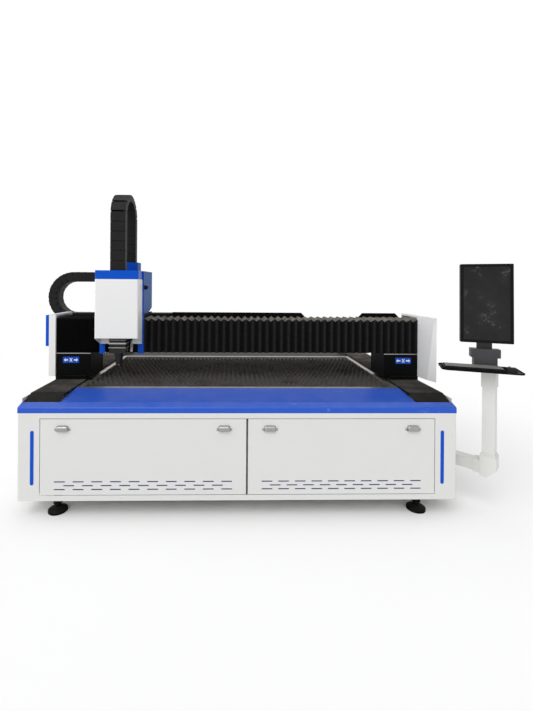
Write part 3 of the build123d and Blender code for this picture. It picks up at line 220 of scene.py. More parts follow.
@cache
def dust_group():
    """Dust that settles on what faces up, and in patches elsewhere."""
    sockets = [("Vector", "Vector", None), ("Color", "Color", None), ("Dust", "Color", None),
               ("Top", "Float", 0.3), ("Sides", "Float", 0.05), ("Scale", "Float", 12.0)]
    outputs = [("Color", "Color", None), ("Mask", "Float", None)]
    tree, start, end = new_tree("Dust", "ShaderNodeTree", sockets, outputs)
    normal = add(tree, "ShaderNodeNewGeometry").outputs["Normal"]
    up = add(tree, "ShaderNodeSeparateXYZ", {0: normal}).outputs["Z"]
    top = step_between(tree, up, 0.2, 0.9)
    coarse = noise(tree, start.outputs["Vector"], start.outputs["Scale"], 6.0, 0.65)
    fine_scale = math_node(tree, "MULTIPLY", start.outputs["Scale"], 9.0)
    fine = noise(tree, start.outputs["Vector"], fine_scale, 4.0, 0.7)
    patches = math_node(tree, "MULTIPLY", step_between(tree, coarse, 0.32, 0.72), fine)
    lying = math_node(tree, "MULTIPLY", top, start.outputs["Top"])
    amount = math_node(tree, "ADD", lying, start.outputs["Sides"])
    spread = math_node(tree, "MULTIPLY_ADD", patches, 1.2, 0.35)
    inputs = {0: amount, 1: spread}
    mask = add(tree, "ShaderNodeMath", inputs, operation="MULTIPLY", use_clamp=True).outputs[0]
    tree.links.new(mixed(tree, mask, start.outputs["Color"], start.outputs["Dust"]), end.inputs["Color"])
    tree.links.new(mask, end.inputs["Mask"])
    return tree


@cache
def scuff_group():
    """Thin streaks where something has rubbed along a surface; on the apron they also stand for painted
    sheen.
    """
    sockets = [("Vector", "Vector", None), ("Stretch", "Vector", (1.0, 1.0, 1.0)), ("Scale", "Float", 8.0),
               ("Amount", "Float", 0.2)]
    tree, start, end = new_tree("Scuffs", "ShaderNodeTree", sockets, [("Mask", "Float", None)])
    inputs = {"Vector": start.outputs["Vector"], "Scale": start.outputs["Stretch"]}
    stretched = add(tree, "ShaderNodeMapping", inputs)
    streaks = noise(tree, stretched.outputs[0], start.outputs["Scale"], 8.0, 0.7)
    fields = noise(tree, start.outputs["Vector"], 2.3, 2.0)
    thin = step_between(tree, streaks, 0.56, 0.72)
    thin = math_node(tree, "MULTIPLY", thin, step_between(tree, fields, 0.42, 0.7))
    tree.links.new(math_node(tree, "MULTIPLY", thin, start.outputs["Amount"]), end.inputs["Mask"])
    return tree


@cache
def grain_group():
    """The fine relief of a coating, as a height."""
    sockets = [("Vector", "Vector", None), ("Scale", "Float", 400.0), ("Waves", "Float", 0.5)]
    tree, start, end = new_tree("Grain", "ShaderNodeTree", sockets, [("Height", "Float", None)])
    fine = noise(tree, start.outputs["Vector"], start.outputs["Scale"], 2.0)
    slow = noise(tree, start.outputs["Vector"], 14.0, 1.0)
    height = math_node(tree, "MULTIPLY_ADD", slow, start.outputs["Waves"], fine)
    tree.links.new(height, end.inputs["Height"])
    return tree


def effect(tree, group, inputs):
    """The outputs of a shared effect that is placed in a material."""
    return add(tree, "ShaderNodeGroup", inputs, node_tree=group()).outputs


def rgba(values):
    """A colour with full alpha."""
    return (*values, 1.0)


def drifting(tree, place, base, scale, amount):
    """A colour that drifts over the surface."""
    inputs = {"Vector": place, "Color": base, "Scale": scale, "Amount": amount}
    return effect(tree, mottle_group, inputs)["Color"]


def dusted(tree, place, base, top, sides, scale):
    """A colour with dust on it, and the dust's mask."""
    inputs = {"Vector": place, "Color": base, "Dust": rgba(settings().colours.dust), "Top": top,
              "Sides": sides, "Scale": scale}
    outputs = effect(tree, dust_group, inputs)
    return outputs["Color"], outputs["Mask"]


def scuffed(tree, place, scale, amount, stretch=(1.0, 1.0, 1.0)):
    """The mask of scuffs."""
    inputs = {"Vector": place, "Stretch": stretch, "Scale": scale, "Amount": amount}
    return effect(tree, scuff_group, inputs)["Mask"]


def grained(tree, place, scale, waves):
    """The height of a coating's relief."""
    return effect(tree, grain_group, {"Vector": place, "Scale": scale, "Waves": waves})["Height"]


def rougher(tree, rough, mask, by):
    """A roughness that grows where there is a mask."""
    return math_node(tree, "MULTIPLY_ADD", mask, by, rough)


# Materials

SOOT = (0.03, 0.022, 0.016, 1.0)
GLASS_FILM = (0.5, 0.5, 0.5, 1.0)
GLASS_SMEAR = (0.62, 0.62, 0.6, 1.0)


def blank_material(name, **constants):
    """A material with a plain Principled shader whose constants are set on its own sockets."""
    surface = bpy.data.materials.new(name)
    surface.use_nodes = True
    tree = surface.node_tree
    tree.nodes.clear()
    shader = tree.nodes.new("ShaderNodeBsdfPrincipled")
    add(tree, "ShaderNodeOutputMaterial", {"Surface": shader.outputs[0]})
    for socket, value in constants.items():
        shader.inputs[socket.replace("_", " ")].default_value = value
    place = add(tree, "ShaderNodeTexCoord").outputs["Object"]
    return surface, tree, shader, place


def finish(tree, shader, base, height, roughness, bump, distance):
    """Links a colour, a bump from a height and a roughness to the shader."""
    tree.links.new(base, shader.inputs["Base Color"])
    relief = add(tree, "ShaderNodeBump", {"Height": height, "Strength": bump, "Distance": distance})
    tree.links.new(relief.outputs[0], shader.inputs["Normal"])
    tree.links.new(roughness, shader.inputs["Roughness"])


def forward_colour(tree, sides, front):
    """A colour for the sides that turns into another on what faces forward; the sides' darker colour is
    painted shade.
    """
    normal = add(tree, "ShaderNodeNewGeometry").outputs["Normal"]
    back = add(tree, "ShaderNodeSeparateXYZ", {0: normal}).outputs["Y"]
    forward = math_node(tree, "MULTIPLY", back, -1.0)
    return mixed(tree, step_between(tree, forward, 0.6, 0.8), rgba(sides), rgba(front))


def coated(name, base, rough, top_dust, side_dust, scuffs, stretch=(1.0, 1.0, 6.0), grain=420.0, bump=0.12,
           drift=0.06, shine=0.5, front=None):
    """Powder coat or paint: drifting colour, scuffs, dust and orange peel, with another colour in front.
    Where a front colour is given, the base colour on the other faces is painted shade; heavy pale scuffs are
    also painted sheen.
    """
    surface, tree, shader, place = blank_material(name, Specular_IOR_Level=shine)
    paint = rgba(base)
    if front:
        # Painted shade: the base colour stays on the faces that don't face forward
        paint = forward_colour(tree, base, getattr(settings().colours, front))
    drifted = drifting(tree, place, paint, scale=2.2, amount=drift)
    rubbed = scuffed(tree, place, scale=9.0, amount=scuffs, stretch=stretch)
    # Pale scuffs are wear; on the apron, where they are many, they are also painted sheen
    pale = rgba(0.55 * channel + 0.3 for channel in base)
    worn = mixed(tree, rubbed, drifted, pale)
    settled, dust = dusted(tree, place, worn, top=top_dust, sides=side_dust, scale=7.0)
    roughness = rougher(tree, rougher(tree, rough, rubbed, by=0.3), dust, by=0.35)
    height = grained(tree, place, scale=grain, waves=0.6)
    finish(tree, shader, settled, height, roughness, bump=bump, distance=0.001)
    return surface


def metal(name, base, rough, streak, scorch, top_dust=0.15, metallic=1.0):
    """Worked metal with fine streaks, scorched patches and some dust."""
    surface, tree, shader, place = blank_material(name, Metallic=metallic)
    streaked = add(tree, "ShaderNodeMapping", {"Vector": place, "Scale": streak}).outputs[0]
    lines = noise(tree, streaked, scale=60.0, detail=6.0, rough=0.7)
    spots = noise(tree, place, scale=6.0, detail=6.0, rough=0.7)
    burns = math_node(tree, "MULTIPLY", step_between(tree, spots, 0.45, 0.75), scorch)
    drifted = drifting(tree, streaked, rgba(base), scale=30.0, amount=0.5)
    burnt = mixed(tree, burns, drifted, SOOT)
    settled, dust = dusted(tree, place, burnt, top=top_dust, sides=0.04, scale=10.0)
    roughness = rougher(tree, rougher(tree, rough - 0.12, lines, by=0.25), dust, by=0.3)
    finish(tree, shader, settled, lines, roughness, bump=0.15, distance=0.0006)
    return surface


def moulded(name, base, rough, top_dust, grain=900.0, bump=0.25, shine=0.25):
    """Moulded plastic or rubber with a fine grain and dust."""
    surface, tree, shader, place = blank_material(name, Specular_IOR_Level=shine)
    drifted = drifting(tree, place, rgba(base), scale=9.0, amount=0.35)
    rubbed = scuffed(tree, place, scale=14.0, amount=0.2)
    worn = mixed(tree, rubbed, drifted, rgba(channel + 0.03 for channel in base))
    settled, dust = dusted(tree, place, worn, top=top_dust, sides=0.008, scale=14.0)
    roughness = rougher(tree, rough, dust, by=0.4)
    height = grained(tree, place, scale=grain, waves=0.2)
    finish(tree, shader, settled, height, roughness, bump=bump, distance=0.0004)
    return surface


def folded_cloth(name, base):
    """Coated cloth: a fine weave, with dust along the outer edges of its folds."""
    surface, tree, shader, place = blank_material(name, Specular_IOR_Level=0.05)
    drifted = drifting(tree, place, rgba(base), scale=5.0, amount=0.6)
    edge = add(tree, "ShaderNodeAttribute", attribute_name="ridge").outputs["Fac"]
    outer = step_between(tree, edge, 0.35, 1.0)
    broken = math_node(tree, "MULTIPLY", outer, noise(tree, place, scale=40.0, detail=5.0, rough=0.7))
    edge_dust = math_node(tree, "MULTIPLY", broken, 0.07)
    rubbed = mixed(tree, edge_dust, drifted, rgba(settings().colours.dust))
    settled, dust = dusted(tree, place, rubbed, top=0.58, sides=0.004, scale=9.0)
    weave = {"Vector": place, "Scale": 260.0}
    warp = add(tree, "ShaderNodeTexWave", weave, bands_direction="X").outputs["Fac"]
    weft = add(tree, "ShaderNodeTexWave", weave, bands_direction="DIAGONAL").outputs["Fac"]
    height = math_node(tree, "ADD", warp, weft)
    roughness = rougher(tree, 0.62, dust, by=0.2)
    finish(tree, shader, settled, height, roughness, bump=0.2, distance=0.0005)
    return surface


def dark_glass(name, base):
    """The glass of a dark screen, with wiped dust and pale smears."""
    surface, tree, shader, place = blank_material(name, Specular_IOR_Level=0.1)
    film = step_between(tree, noise(tree, place, scale=3.0, detail=4.0), 0.3, 0.8)
    filmed = mixed(tree, math_node(tree, "MULTIPLY", film, 0.02), rgba(base), GLASS_FILM)
    spots = step_between(tree, noise(tree, place, scale=36.0, detail=6.0, rough=0.75), 0.5, 0.72)
    fields = step_between(tree, noise(tree, place, scale=6.0, detail=2.0), 0.52, 0.66)
    smears = math_node(tree, "MULTIPLY", math_node(tree, "MULTIPLY", spots, fields), 0.3)
    smeared = mixed(tree, smears, filmed, GLASS_SMEAR)
    settled = dusted(tree, place, smeared, top=0.2, sides=0.01, scale=20.0)[0]
    roughness = rougher(tree, 0.22, film, by=0.2)
    height = grained(tree, place, scale=700.0, waves=0.1)
    finish(tree, shader, settled, height, roughness, bump=0.03, distance=0.0002)
    return surface


# Each finish: how it is made, its own colour and its other values
FINISHES = {
    "white_coat": (coated, "white", dict(rough=0.42, top_dust=0.1, side_dust=0.008, scuffs=0.03)),
    "panel_coat": (coated, "panel", dict(rough=0.42, top_dust=0.1, side_dust=0.01, scuffs=0.04)),
    "blue_coat": (coated, "blue", dict(
        rough=0.3, top_dust=0.04, side_dust=0.002, scuffs=0.05, stretch=(1.0, 6.0, 1.0), shine=0.12)),
    # Painted shade: the slot blades are a darkened copy of the blue paint
    "slot_shade_coat": (coated, "dark_blue", dict(
        rough=0.4, top_dust=0.04, side_dust=0.002, scuffs=0.05, shine=0.1)),
    # Painted sheen: the apron's many pale scuffs and its extra dust on top lighten its top as a reflection
    # would, besides wear and dust
    "apron_coat": (coated, "blue", dict(
        rough=0.34, top_dust=0.1, side_dust=0.002, scuffs=0.5, stretch=(1.0, 4.0, 1.0), shine=0.45)),
    # Painted shade: the housing's sides and top are a darker blue, and its forward faces are bright blue
    "carriage_blue": (coated, "dull_blue", dict(
        rough=0.5, top_dust=0.06, side_dust=0.01, scuffs=0.05, grain=260.0, bump=0.4, shine=0.1,
        front="blue")),
    "black_coat": (coated, "black", dict(
        rough=0.46, top_dust=0.05, side_dust=0.002, scuffs=0.01, drift=0.3, shine=0.04)),
    "arm_coat": (coated, "grey", dict(rough=0.45, top_dust=0.1, side_dust=0.012, scuffs=0.05)),
    "sign_white": (coated, "white", dict(rough=0.4, top_dust=0.1, side_dust=0.02, scuffs=0.05)),
    "bare_steel": (metal, "steel", dict(rough=0.42, streak=(1.0, 14.0, 14.0), scorch=0.35)),
    "burnt_steel": (metal, "slag", dict(
        rough=0.6, streak=(1.0, 1.0, 4.0), scorch=0.8, top_dust=0.1, metallic=0.6)),
    "zinc": (metal, "zinc", dict(rough=0.34, streak=(8.0, 1.0, 1.0), scorch=0.1, top_dust=0.05)),
    "head_steel": (metal, "black", dict(
        rough=0.42, streak=(1.0, 1.0, 8.0), scorch=0.1, top_dust=0.1, metallic=0.5)),
    "copper": (metal, "copper", dict(rough=0.35, streak=(1.0, 1.0, 6.0), scorch=0.4, top_dust=0.05)),
    "chain_plastic": (moulded, "plastic", dict(rough=0.5, top_dust=0.08, shine=0.1)),
    "cable_sheath": (moulded, "dark_plastic", dict(rough=0.4, top_dust=0.05, grain=300.0, bump=0.1)),
    "dark_plastic": (moulded, "dark_plastic", dict(rough=0.4, top_dust=0.05, shine=0.06)),
    "key_plastic": (moulded, "key", dict(rough=0.5, top_dust=0.25)),
    "stand_plastic": (moulded, "stand", dict(rough=0.5, top_dust=0.12)),
    "foot_rubber": (moulded, "black", dict(rough=0.6, top_dust=0.03, grain=500.0, bump=0.3, shine=0.04)),
    "bellows_cloth": (folded_cloth, "cloth", {}),
    "screen_glass": (dark_glass, "screen", {}),
}


@cache
def material(name):
    """A finish by its name, made when it is first asked for."""
    maker, colour_name, values = FINISHES[name]
    return maker(name, getattr(settings().colours, colour_name), **values)


def dress(finish_name, *nodes):
    """Gives nodes of the frame a finish."""
    for node in nodes:
        slots = NODES[node].data.materials
        slots.clear()
        slots.append(material(finish_name))


# Meshes

SHARP_ANGLE = math.radians(40)


def to_mesh(name, shape):
    """A plain mesh from a bmesh, which is freed."""
    mesh = bpy.data.meshes.new(name)
    shape.to_mesh(mesh)
    shape.free()
    return mesh


def new_object(name, data):
    """A new object in the scene."""
    made = bpy.data.objects.new(name, data)
    bpy.context.scene.collection.objects.link(made)
    return made


def place_piece(name, mesh, body, finish_name=None):
    """A piece with a finish and a body that it rides on, each where one is given."""
    piece = new_object(name, mesh)
    if finish_name:
        mesh.materials.clear()
        mesh.materials.append(material(finish_name))
    if body:
        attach(piece, body)
    return piece


def add_block(shape, low, high, bevel, segments=1):
    """A box between two corners, with softened edges, in a bmesh."""
    low, high = Vector(low), Vector(high)
    made = bmesh.ops.create_cube(shape, size=1.0)["verts"]
    bmesh.ops.scale(shape, vec=high - low, verts=made)
    bmesh.ops.translate(shape, vec=(low + high) / 2, verts=made)
    edges = list({edge for vert in made for edge in vert.link_edges})
    bmesh.ops.bevel(shape, geom=edges, offset=bevel, segments=segments, affect="EDGES", profile=0.5)


def add_disc(shape, foot, axis, radius, depth, sides, top_share=1.0):
    """A cylinder or cone whose foot is at a point and which stands along an axis, in a bmesh."""
    axis = Vector(axis).normalized()
    turn = axis.to_track_quat("Z", "Y").to_matrix().to_4x4()
    place = Matrix.Translation(Vector(foot) + axis * depth / 2) @ turn
    bmesh.ops.create_cone(shape, cap_ends=True, segments=sides, radius1=radius, radius2=radius * top_share,
                          depth=depth, matrix=place)


def add_discs(shape, foot, axis, rings):
    """Discs on top of each other. A ring is a disc's radius, depth, number of sides and top's share."""
    spot = Vector(foot)
    for radius, depth, sides, top_share in rings:
        add_disc(shape, spot, axis, radius, depth, sides, top_share)
        spot += Vector(axis) * depth


def add_prism(shape, outline, depth, place):
    """A flat outline given a depth along its normal, set by a matrix, in a bmesh."""
    under = [shape.verts.new(place @ Vector((x, y, 0.0))) for x, y in outline]
    over = [shape.verts.new(place @ Vector((x, y, depth))) for x, y in outline]
    count = len(outline)
    faces = [shape.faces.new(list(reversed(under))), shape.faces.new(over)]
    for index in range(count):
        after = (index + 1) % count
        faces.append(shape.faces.new([under[index], under[after], over[after], over[index]]))
    bmesh.ops.recalc_face_normals(shape, faces=faces)


def place_shape(name, shape, body, finish_name):
    """A piece made from a bmesh, smooth but for its sharp edges."""
    mesh = to_mesh(name, shape)
    mesh.shade_smooth()
    mesh.set_sharp_from_angle(angle=SHARP_ANGLE)
    place_piece(name, mesh, body, finish_name)


# Geometry node trees

MESH_OUTPUT = [("Geometry", "Geometry", None)]


def plain_mesh(carrier):
    """The mesh that an object evaluates to. The object is removed."""
    depsgraph = bpy.context.evaluated_depsgraph_get()
    evaluated = carrier.evaluated_get(depsgraph)
    mesh = bpy.data.meshes.new_from_object(evaluated, preserve_all_data_layers=True, depsgraph=depsgraph)
    bpy.data.objects.remove(carrier)
    return mesh


def carried_mesh(name, base, tree, inputs, finish_name, thickness=0.0):
    """The plain mesh that a node tree makes from a base mesh, with a wall where a thickness is given."""
    carrier = new_object(name + "_carrier", base)
    modifier = carrier.modifiers.new(tree.name, "NODES")
    modifier.node_group = tree
    values = {**inputs, "Material": material(finish_name)}
    for item in tree.interface.items_tree:
        if item.item_type == "SOCKET" and item.in_out == "INPUT" and item.name in values:
            modifier[item.identifier] = values[item.name]
    if thickness:
        wall = carrier.modifiers.new("Wall", "SOLIDIFY")
        wall.thickness = thickness
        wall.offset = -1.0
    mesh = plain_mesh(carrier)
    mesh.name = name
    return mesh


def end_tree(tree, start, end, geometry):
    """Ends a tree with plain geometry in the material that it is given."""
    plain = add(tree, "GeometryNodeRealizeInstances", {0: geometry}).outputs[0]
    inputs = {"Geometry": plain, "Material": start.outputs["Material"]}
    made = add(tree, "GeometryNodeSetMaterial", inputs).outputs[0]
    tree.links.new(made, end.inputs[0])


@cache
def copies_tree():
    """Copies of a shape on points, all turned to one axis."""
    sockets = [("Points", "Geometry", None), ("Shape", "Object", None), ("Axis", "Vector", (0.0, 0.0, 1.0)),
               ("Material", "Material", None)]
    tree, start, end = new_tree("Copies on points", "GeometryNodeTree", sockets, MESH_OUTPUT)
    shape = add(tree, "GeometryNodeObjectInfo", {"Object": start.outputs["Shape"]}).outputs["Geometry"]
    turn = add(tree, "FunctionNodeAlignRotationToVector", {"Vector": start.outputs["Axis"]}, axis="Z")
    points = add(tree, "GeometryNodeMeshToPoints", {"Mesh": start.outputs["Points"]}).outputs[0]
    inputs = {"Points": points, "Instance": shape, "Rotation": turn.outputs[0]}
    placed = add(tree, "GeometryNodeInstanceOnPoints", inputs).outputs[0]
    end_tree(tree, start, end, placed)
    return tree


@cache
def links_tree():
    """Copies of a link along a path, each turned to the path's direction."""
    sockets = [("Path", "Geometry", None), ("Count", "Int", 10), ("Link", "Object", None),
               ("Across", "Vector", (0.0, 1.0, 0.0)), ("Material", "Material", None)]
    tree, start, end = new_tree("Links along a path", "GeometryNodeTree", sockets, MESH_OUTPUT)
    curve = add(tree, "GeometryNodeMeshToCurve", {0: start.outputs["Path"]}).outputs[0]
    inputs = {"Curve": curve, "Count": start.outputs["Count"]}
    points = add(tree, "GeometryNodeCurveToPoints", inputs, mode="COUNT")
    across = add(tree, "FunctionNodeAlignRotationToVector", {"Vector": start.outputs["Across"]}, axis="Y")
    inputs = {"Rotation": across.outputs[0], "Vector": points.outputs["Tangent"]}
    along = add(tree, "FunctionNodeAlignRotationToVector", inputs, axis="X", pivot_axis="Y").outputs[0]
    link = add(tree, "GeometryNodeObjectInfo", {"Object": start.outputs["Link"]}).outputs["Geometry"]
    inputs = {"Points": points.outputs["Points"], "Instance": link, "Rotation": along}
    placed = add(tree, "GeometryNodeInstanceOnPoints", inputs).outputs[0]
    end_tree(tree, start, end, placed)
    return tree


@cache
def folds_tree():
    """A folded cover: a profile carried in even steps, every other step sunk along its own inward way."""
    sockets = [("Profile", "Geometry", None), ("Stations", "Int", 3), ("Profile Points", "Int", 2),
               ("Step", "Vector", (0.01, 0.0, 0.0)), ("Depth", "Float", 0.02), ("Unevenness", "Float", 0.1),
               ("Seed", "Int", 7), ("Material", "Material", None)]
    tree, start, end = new_tree("Folded cover", "GeometryNodeTree", sockets, MESH_OUTPUT)
    inputs = {"Vertices X": start.outputs["Stations"], "Vertices Y": start.outputs["Profile Points"]}
    sheet = add(tree, "GeometryNodeMeshGrid", inputs).outputs["Mesh"]
    index = add(tree, "GeometryNodeInputIndex").outputs[0]
    width = start.outputs["Profile Points"]
    station = math_node(tree, "FLOOR", math_node(tree, "DIVIDE", index, width))
    across = math_node(tree, "MODULO", index, width)
    sunk = math_node(tree, "MODULO", station, 2.0)
    profile = start.outputs["Profile"]
    position = add(tree, "GeometryNodeInputPosition").outputs[0]
    inward = add(tree, "GeometryNodeInputNamedAttribute", {"Name": "inward"}, data_type="FLOAT_VECTOR")
    samples = []
    for value in (position, inward.outputs["Attribute"]):
        inputs = {"Geometry": profile, "Value": value, "Index": across}
        samples.append(add(tree, "GeometryNodeSampleIndex", inputs, data_type="FLOAT_VECTOR").outputs[0])
    inputs = {"Min": 0.0, "Max": 1.0, "ID": station, "Seed": start.outputs["Seed"]}
    chance = add(tree, "FunctionNodeRandomValue", inputs, data_type="FLOAT").outputs["Value"]
    uneven = math_node(tree, "MULTIPLY", chance, start.outputs["Unevenness"])
    depth = math_node(tree, "MULTIPLY", math_node(tree, "SUBTRACT", sunk, uneven), start.outputs["Depth"])
    depth = math_node(tree, "MAXIMUM", depth, 0.0)
    sink = vector_node(tree, "SCALE", {0: samples[1], "Scale": depth})
    travel = vector_node(tree, "SCALE", {0: start.outputs["Step"], "Scale": station})
    place = vector_node(tree, "ADD", {0: samples[0], 1: sink})
    place = vector_node(tree, "ADD", {0: place, 1: travel})
    ridge = math_node(tree, "SUBTRACT", 1.0, sunk)
    folded = add(tree, "GeometryNodeSetPosition", {"Geometry": sheet, "Position": place}).outputs[0]
    inputs = {"Geometry": folded, "Name": "ridge", "Value": ridge}
    marked = add(tree, "GeometryNodeStoreNamedAttribute", inputs, data_type="FLOAT", domain="POINT")
    end_tree(tree, start, end, marked.outputs[0])
    return tree


def point_mesh(name, points, edges=(), **vectors):
    """Loose points or a polyline, with a vector attribute for each name given."""
    mesh = bpy.data.meshes.new(name)
    mesh.from_pydata([tuple(point) for point in points], list(edges), [])
    for key, values in vectors.items():
        attribute = mesh.attributes.new(key, "FLOAT_VECTOR", "POINT")
        attribute.data.foreach_set("vector", [number for value in values for number in value])
    return mesh


def copies(name, shape_mesh, points, axis, finish_name):
    """A mesh of copies of a shape on points, all turned to one axis."""
    shape = new_object(name + "_shape", shape_mesh)
    base = point_mesh(name + "_points", points)
    mesh = carried_mesh(name, base, copies_tree(), {"Shape": shape, "Axis": axis}, finish_name)
    bpy.data.objects.remove(shape)
    return mesh


def screw_head(radius, height):
    """A button head with a hexagon in its middle, which stands on Z = 0."""
    up = (0, 0, 1)
    shape = bmesh.new()
    add_discs(shape, (0, 0, 0), up, ((radius, height * 0.6, 20, 1.0), (radius, height * 0.4, 20, 0.7)))
    add_disc(shape, (0, 0, height * 0.9), up, radius * 0.42, height * 0.12, 6)
    return to_mesh("screw_head", shape)


def screws(name, points, axis, radius, body):
    """Zinc screw heads on points, all along one axis."""
    mesh = copies(name, screw_head(radius, radius * 0.55), points, axis, "zinc")
    place_piece(name, mesh, body)


# Bellows

FOLD_UNEVENNESS = 0.12


def folded_cover(name, node, corners, inward, travel, folds, depth, seed):
    """A folded cover that stands for a node, which it hides."""
    stations = 2 * folds + 1
    step = travel / (stations - 1)
    base = point_mesh(name + "_profile", corners, inward=inward)
    inputs = {"Stations": stations, "Profile Points": len(corners), "Step": step, "Depth": depth,
              "Unevenness": FOLD_UNEVENNESS, "Seed": seed}
    thickness = settings().sizes.cloth_thickness
    mesh = carried_mesh(name, base, folds_tree(), inputs, "bellows_cloth", thickness)
    piece = place_piece(name, mesh, None)
    start = Vector(corners[0])
    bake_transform(piece)
    even_blend(piece, start, travel)
    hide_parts(node)


def vertex_places(mesh):
    """The places of a mesh's points, one in each row."""
    places = np.zeros(len(mesh.vertices) * 3)
    mesh.vertices.foreach_get("co", places)
    return places.reshape(-1, 3)


def even_blend(piece, start, travel):
    """The share of the travel at each point of the cover, which grows evenly along it; it is worked out but
    not kept. All folds open and close alike, so the share grows evenly along the cover.
    """
    along = (vertex_places(piece.data) - np.array(start)) @ np.array(travel) / travel.length_squared


class LASER_OT_bellows(bpy.types.Operator):
    """Folded covers of the long guides and of the gantry's beam"""

    bl_idname = "laser_cutter.bellows"
    bl_label = "Bellows"

    profile_parts = 4
    hood_seed = 11
    strip_seed = 21

    def execute(self, context):
        sizes = settings().sizes
        for seed, side in enumerate(("left", "right")):
            self.hood(f"x_bellows_{side}", side, sizes, self.hood_seed + seed)
        for node, folds in (("y_bellows_front", sizes.front_folds), ("y_bellows_rear", sizes.rear_folds)):
            for seed, side in enumerate(("left", "right")):
                self.strip(node, side, folds, sizes.strip_fold, self.strip_seed + seed)
        return {"FINISHED"}

    def hood(self, node, side, sizes, seed):
        """A cover over the beam's front and top, from one end of the gantry to the carriage."""
        low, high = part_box(node)
        fixed, moving = (low.x, high.x) if side == "left" else (high.x, low.x)
        parts = self.profile_parts
        rise = (high.z - low.z) / parts
        run = (high.y - low.y) / parts
        corners = [(fixed, low.y, low.z + index * rise) for index in range(parts + 1)]
        inward = [(0, 1, 0)] * parts + [(0, 1, -1)]
        corners += [(fixed, low.y + (index + 1) * run, high.z) for index in range(parts)]
        inward += [(0, 0, -1)] * parts
        travel = Vector((moving - fixed, 0, 0))
        if side == "right":
            corners.reverse()
            inward.reverse()
        folded_cover(f"{node}_cloth", node, corners, inward, travel, sizes.hood_folds,
                     sizes.hood_fold, seed)

    def strip(self, node, side, folds, depth, seed):
        """A flat cover over one of the long guides, from an end of the cabinet to the gantry."""
        low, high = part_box(node)
        plate_low, plate_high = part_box("bellows_end_plates")
        middle = (plate_low.x + plate_high.x) / 2
        inner = self.inner_half(node, middle)
        outer = plate_high.x - middle
        first, last = (-outer, -inner) if side == "left" else (inner, outer)
        front = node.endswith("front")
        fixed, moving = (low.y, high.y) if front else (high.y, low.y)
        parts = self.profile_parts
        xs = [middle + first + (last - first) * index / parts for index in range(parts + 1)]
        corners = [(x, fixed, high.z) for x in xs]
        if front:
            corners.reverse()
        travel = Vector((0, moving - fixed, 0))
        folded_cover(f"{node}_{side}_cloth", node, corners, [(0, 0, -1)] * len(corners),
                     travel, folds, depth, seed)

    def inner_half(self, node, middle):
        """The half width between the two strips of a node."""
        places = vertex_places(NODES[node].data)[:, 0] - middle
        return float(places[places > 0].min())


# Cable chains

def chain_path(start, run_in, radius, run_out, along, side, steps=24):
    """A polyline along a straight run, a half circle and a straight run back."""
    along, side = Vector(along), Vector(side)
    centre = Vector(start) + along * run_in + side * radius
    points = [Vector(start), Vector(start) + along * run_in / 2]
    for index in range(steps + 1):
        angle = math.pi * index / steps
        points.append(centre - side * radius * math.cos(angle) + along * radius * math.sin(angle))
    points.append(centre + side * radius - along * run_out / 2)
    points.append(centre + side * radius - along * run_out)
    return points


def path_lengths(points):
    """The distance of each point of a polyline from its start."""
    steps = [0.0] + [(after - before).length for before, after in zip(points, points[1:])]
    return np.cumsum(steps)


def round_end(pivot, start, radius, sides=8):
    """A plate's outline from a straight end to a round end about a pivot. X runs along it."""
    turns = [math.pi / 2 - math.pi * index / sides for index in range(sides + 1)]
    outline = [(pivot + radius * math.cos(turn), radius * math.sin(turn)) for turn in turns]
    return outline + [(start, -radius), (start, radius)]


def soft_rectangle(width, height, corner):
    """A rectangle with cut corners about the origin, as an outline."""
    x, y = width / 2, height / 2
    return [(x, corner - y), (x, y - corner), (x - corner, y), (corner - x, y), (-x, y - corner),
            (-x, corner - y), (corner - x, -y), (x - corner, -y)]


def link_shape(pitch, height, width):
    """One chain link: outer plates, tongues that lap the next link, a lid, a floor and pins, along X."""
    shape = bmesh.new()
    plate = width * 0.06
    pin_radius, pin_depth = height * 0.16, plate * 0.45
    upright = Matrix(((1, 0, 0, 0), (0, 0, 1, 0), (0, 1, 0, 0), (0, 0, 0, 1)))
    outer_face = soft_rectangle(pitch * 0.985, height * 0.96, height * 0.06)
    tongue = round_end(pitch / 2, 0.0, height * 0.47)
    for side in (-1, 1):
        outer = side * (width / 2 - plate / 2) - plate / 2
        add_prism(shape, outer_face, plate, Matrix.Translation((0, outer, 0)) @ upright)
        add_prism(shape, tongue, plate, Matrix.Translation((0, outer - side * plate, 0)) @ upright)
        pin_foot = (-pitch * 0.3, side * (width / 2 - plate * 0.3), 0)
        add_disc(shape, pin_foot, (0, side, 0), pin_radius, pin_depth, 16)
    reach, inside, edge = pitch * 0.485, width / 2 - plate, height * 0.03
    for foot, top in ((height * 0.42, height / 2), (-height / 2, -height * 0.42)):
        add_block(shape, (-reach, -inside, foot), (reach, inside, top), edge)
    return to_mesh("chain_link", shape)


def cable_mesh(name, path, across, places, radius):
    """Round cables that follow a path side by side, as one plain mesh."""
    curve = bpy.data.curves.new(name, "CURVE")
    curve.dimensions = "3D"
    curve.bevel_depth = radius
    curve.bevel_resolution = 2
    for place in places:
        spline = curve.splines.new("POLY")
        spline.points.add(len(path) - 1)
        for point, spot in zip(spline.points, path):
            point.co = (*(spot + Vector(across) * place), 1.0)
    mesh = plain_mesh(new_object(name, curve))
    mesh.shade_smooth()
    return mesh


def chain_links(name, path, pitch, height, width, across):
    """Links along a path, with their pitch changed a little to fit its length."""
    total = path_lengths(path)[-1]
    count = round(total / pitch)
    pitch = total / count
    link = new_object(name + "_link", link_shape(pitch, height, width))
    start = path[0] + (path[1] - path[0]).normalized() * pitch / 2
    stop = path[-1] + (path[-2] - path[-1]).normalized() * pitch / 2
    line = [start] + path[1:-1] + [stop]
    edges = [(index, index + 1) for index in range(len(line) - 1)]
    base = point_mesh(name + "_path", line, edges)
    inputs = {"Count": count, "Link": link, "Across": across}
    mesh = carried_mesh(name, base, links_tree(), inputs, "chain_plastic")
    bpy.data.objects.remove(link)
    return mesh


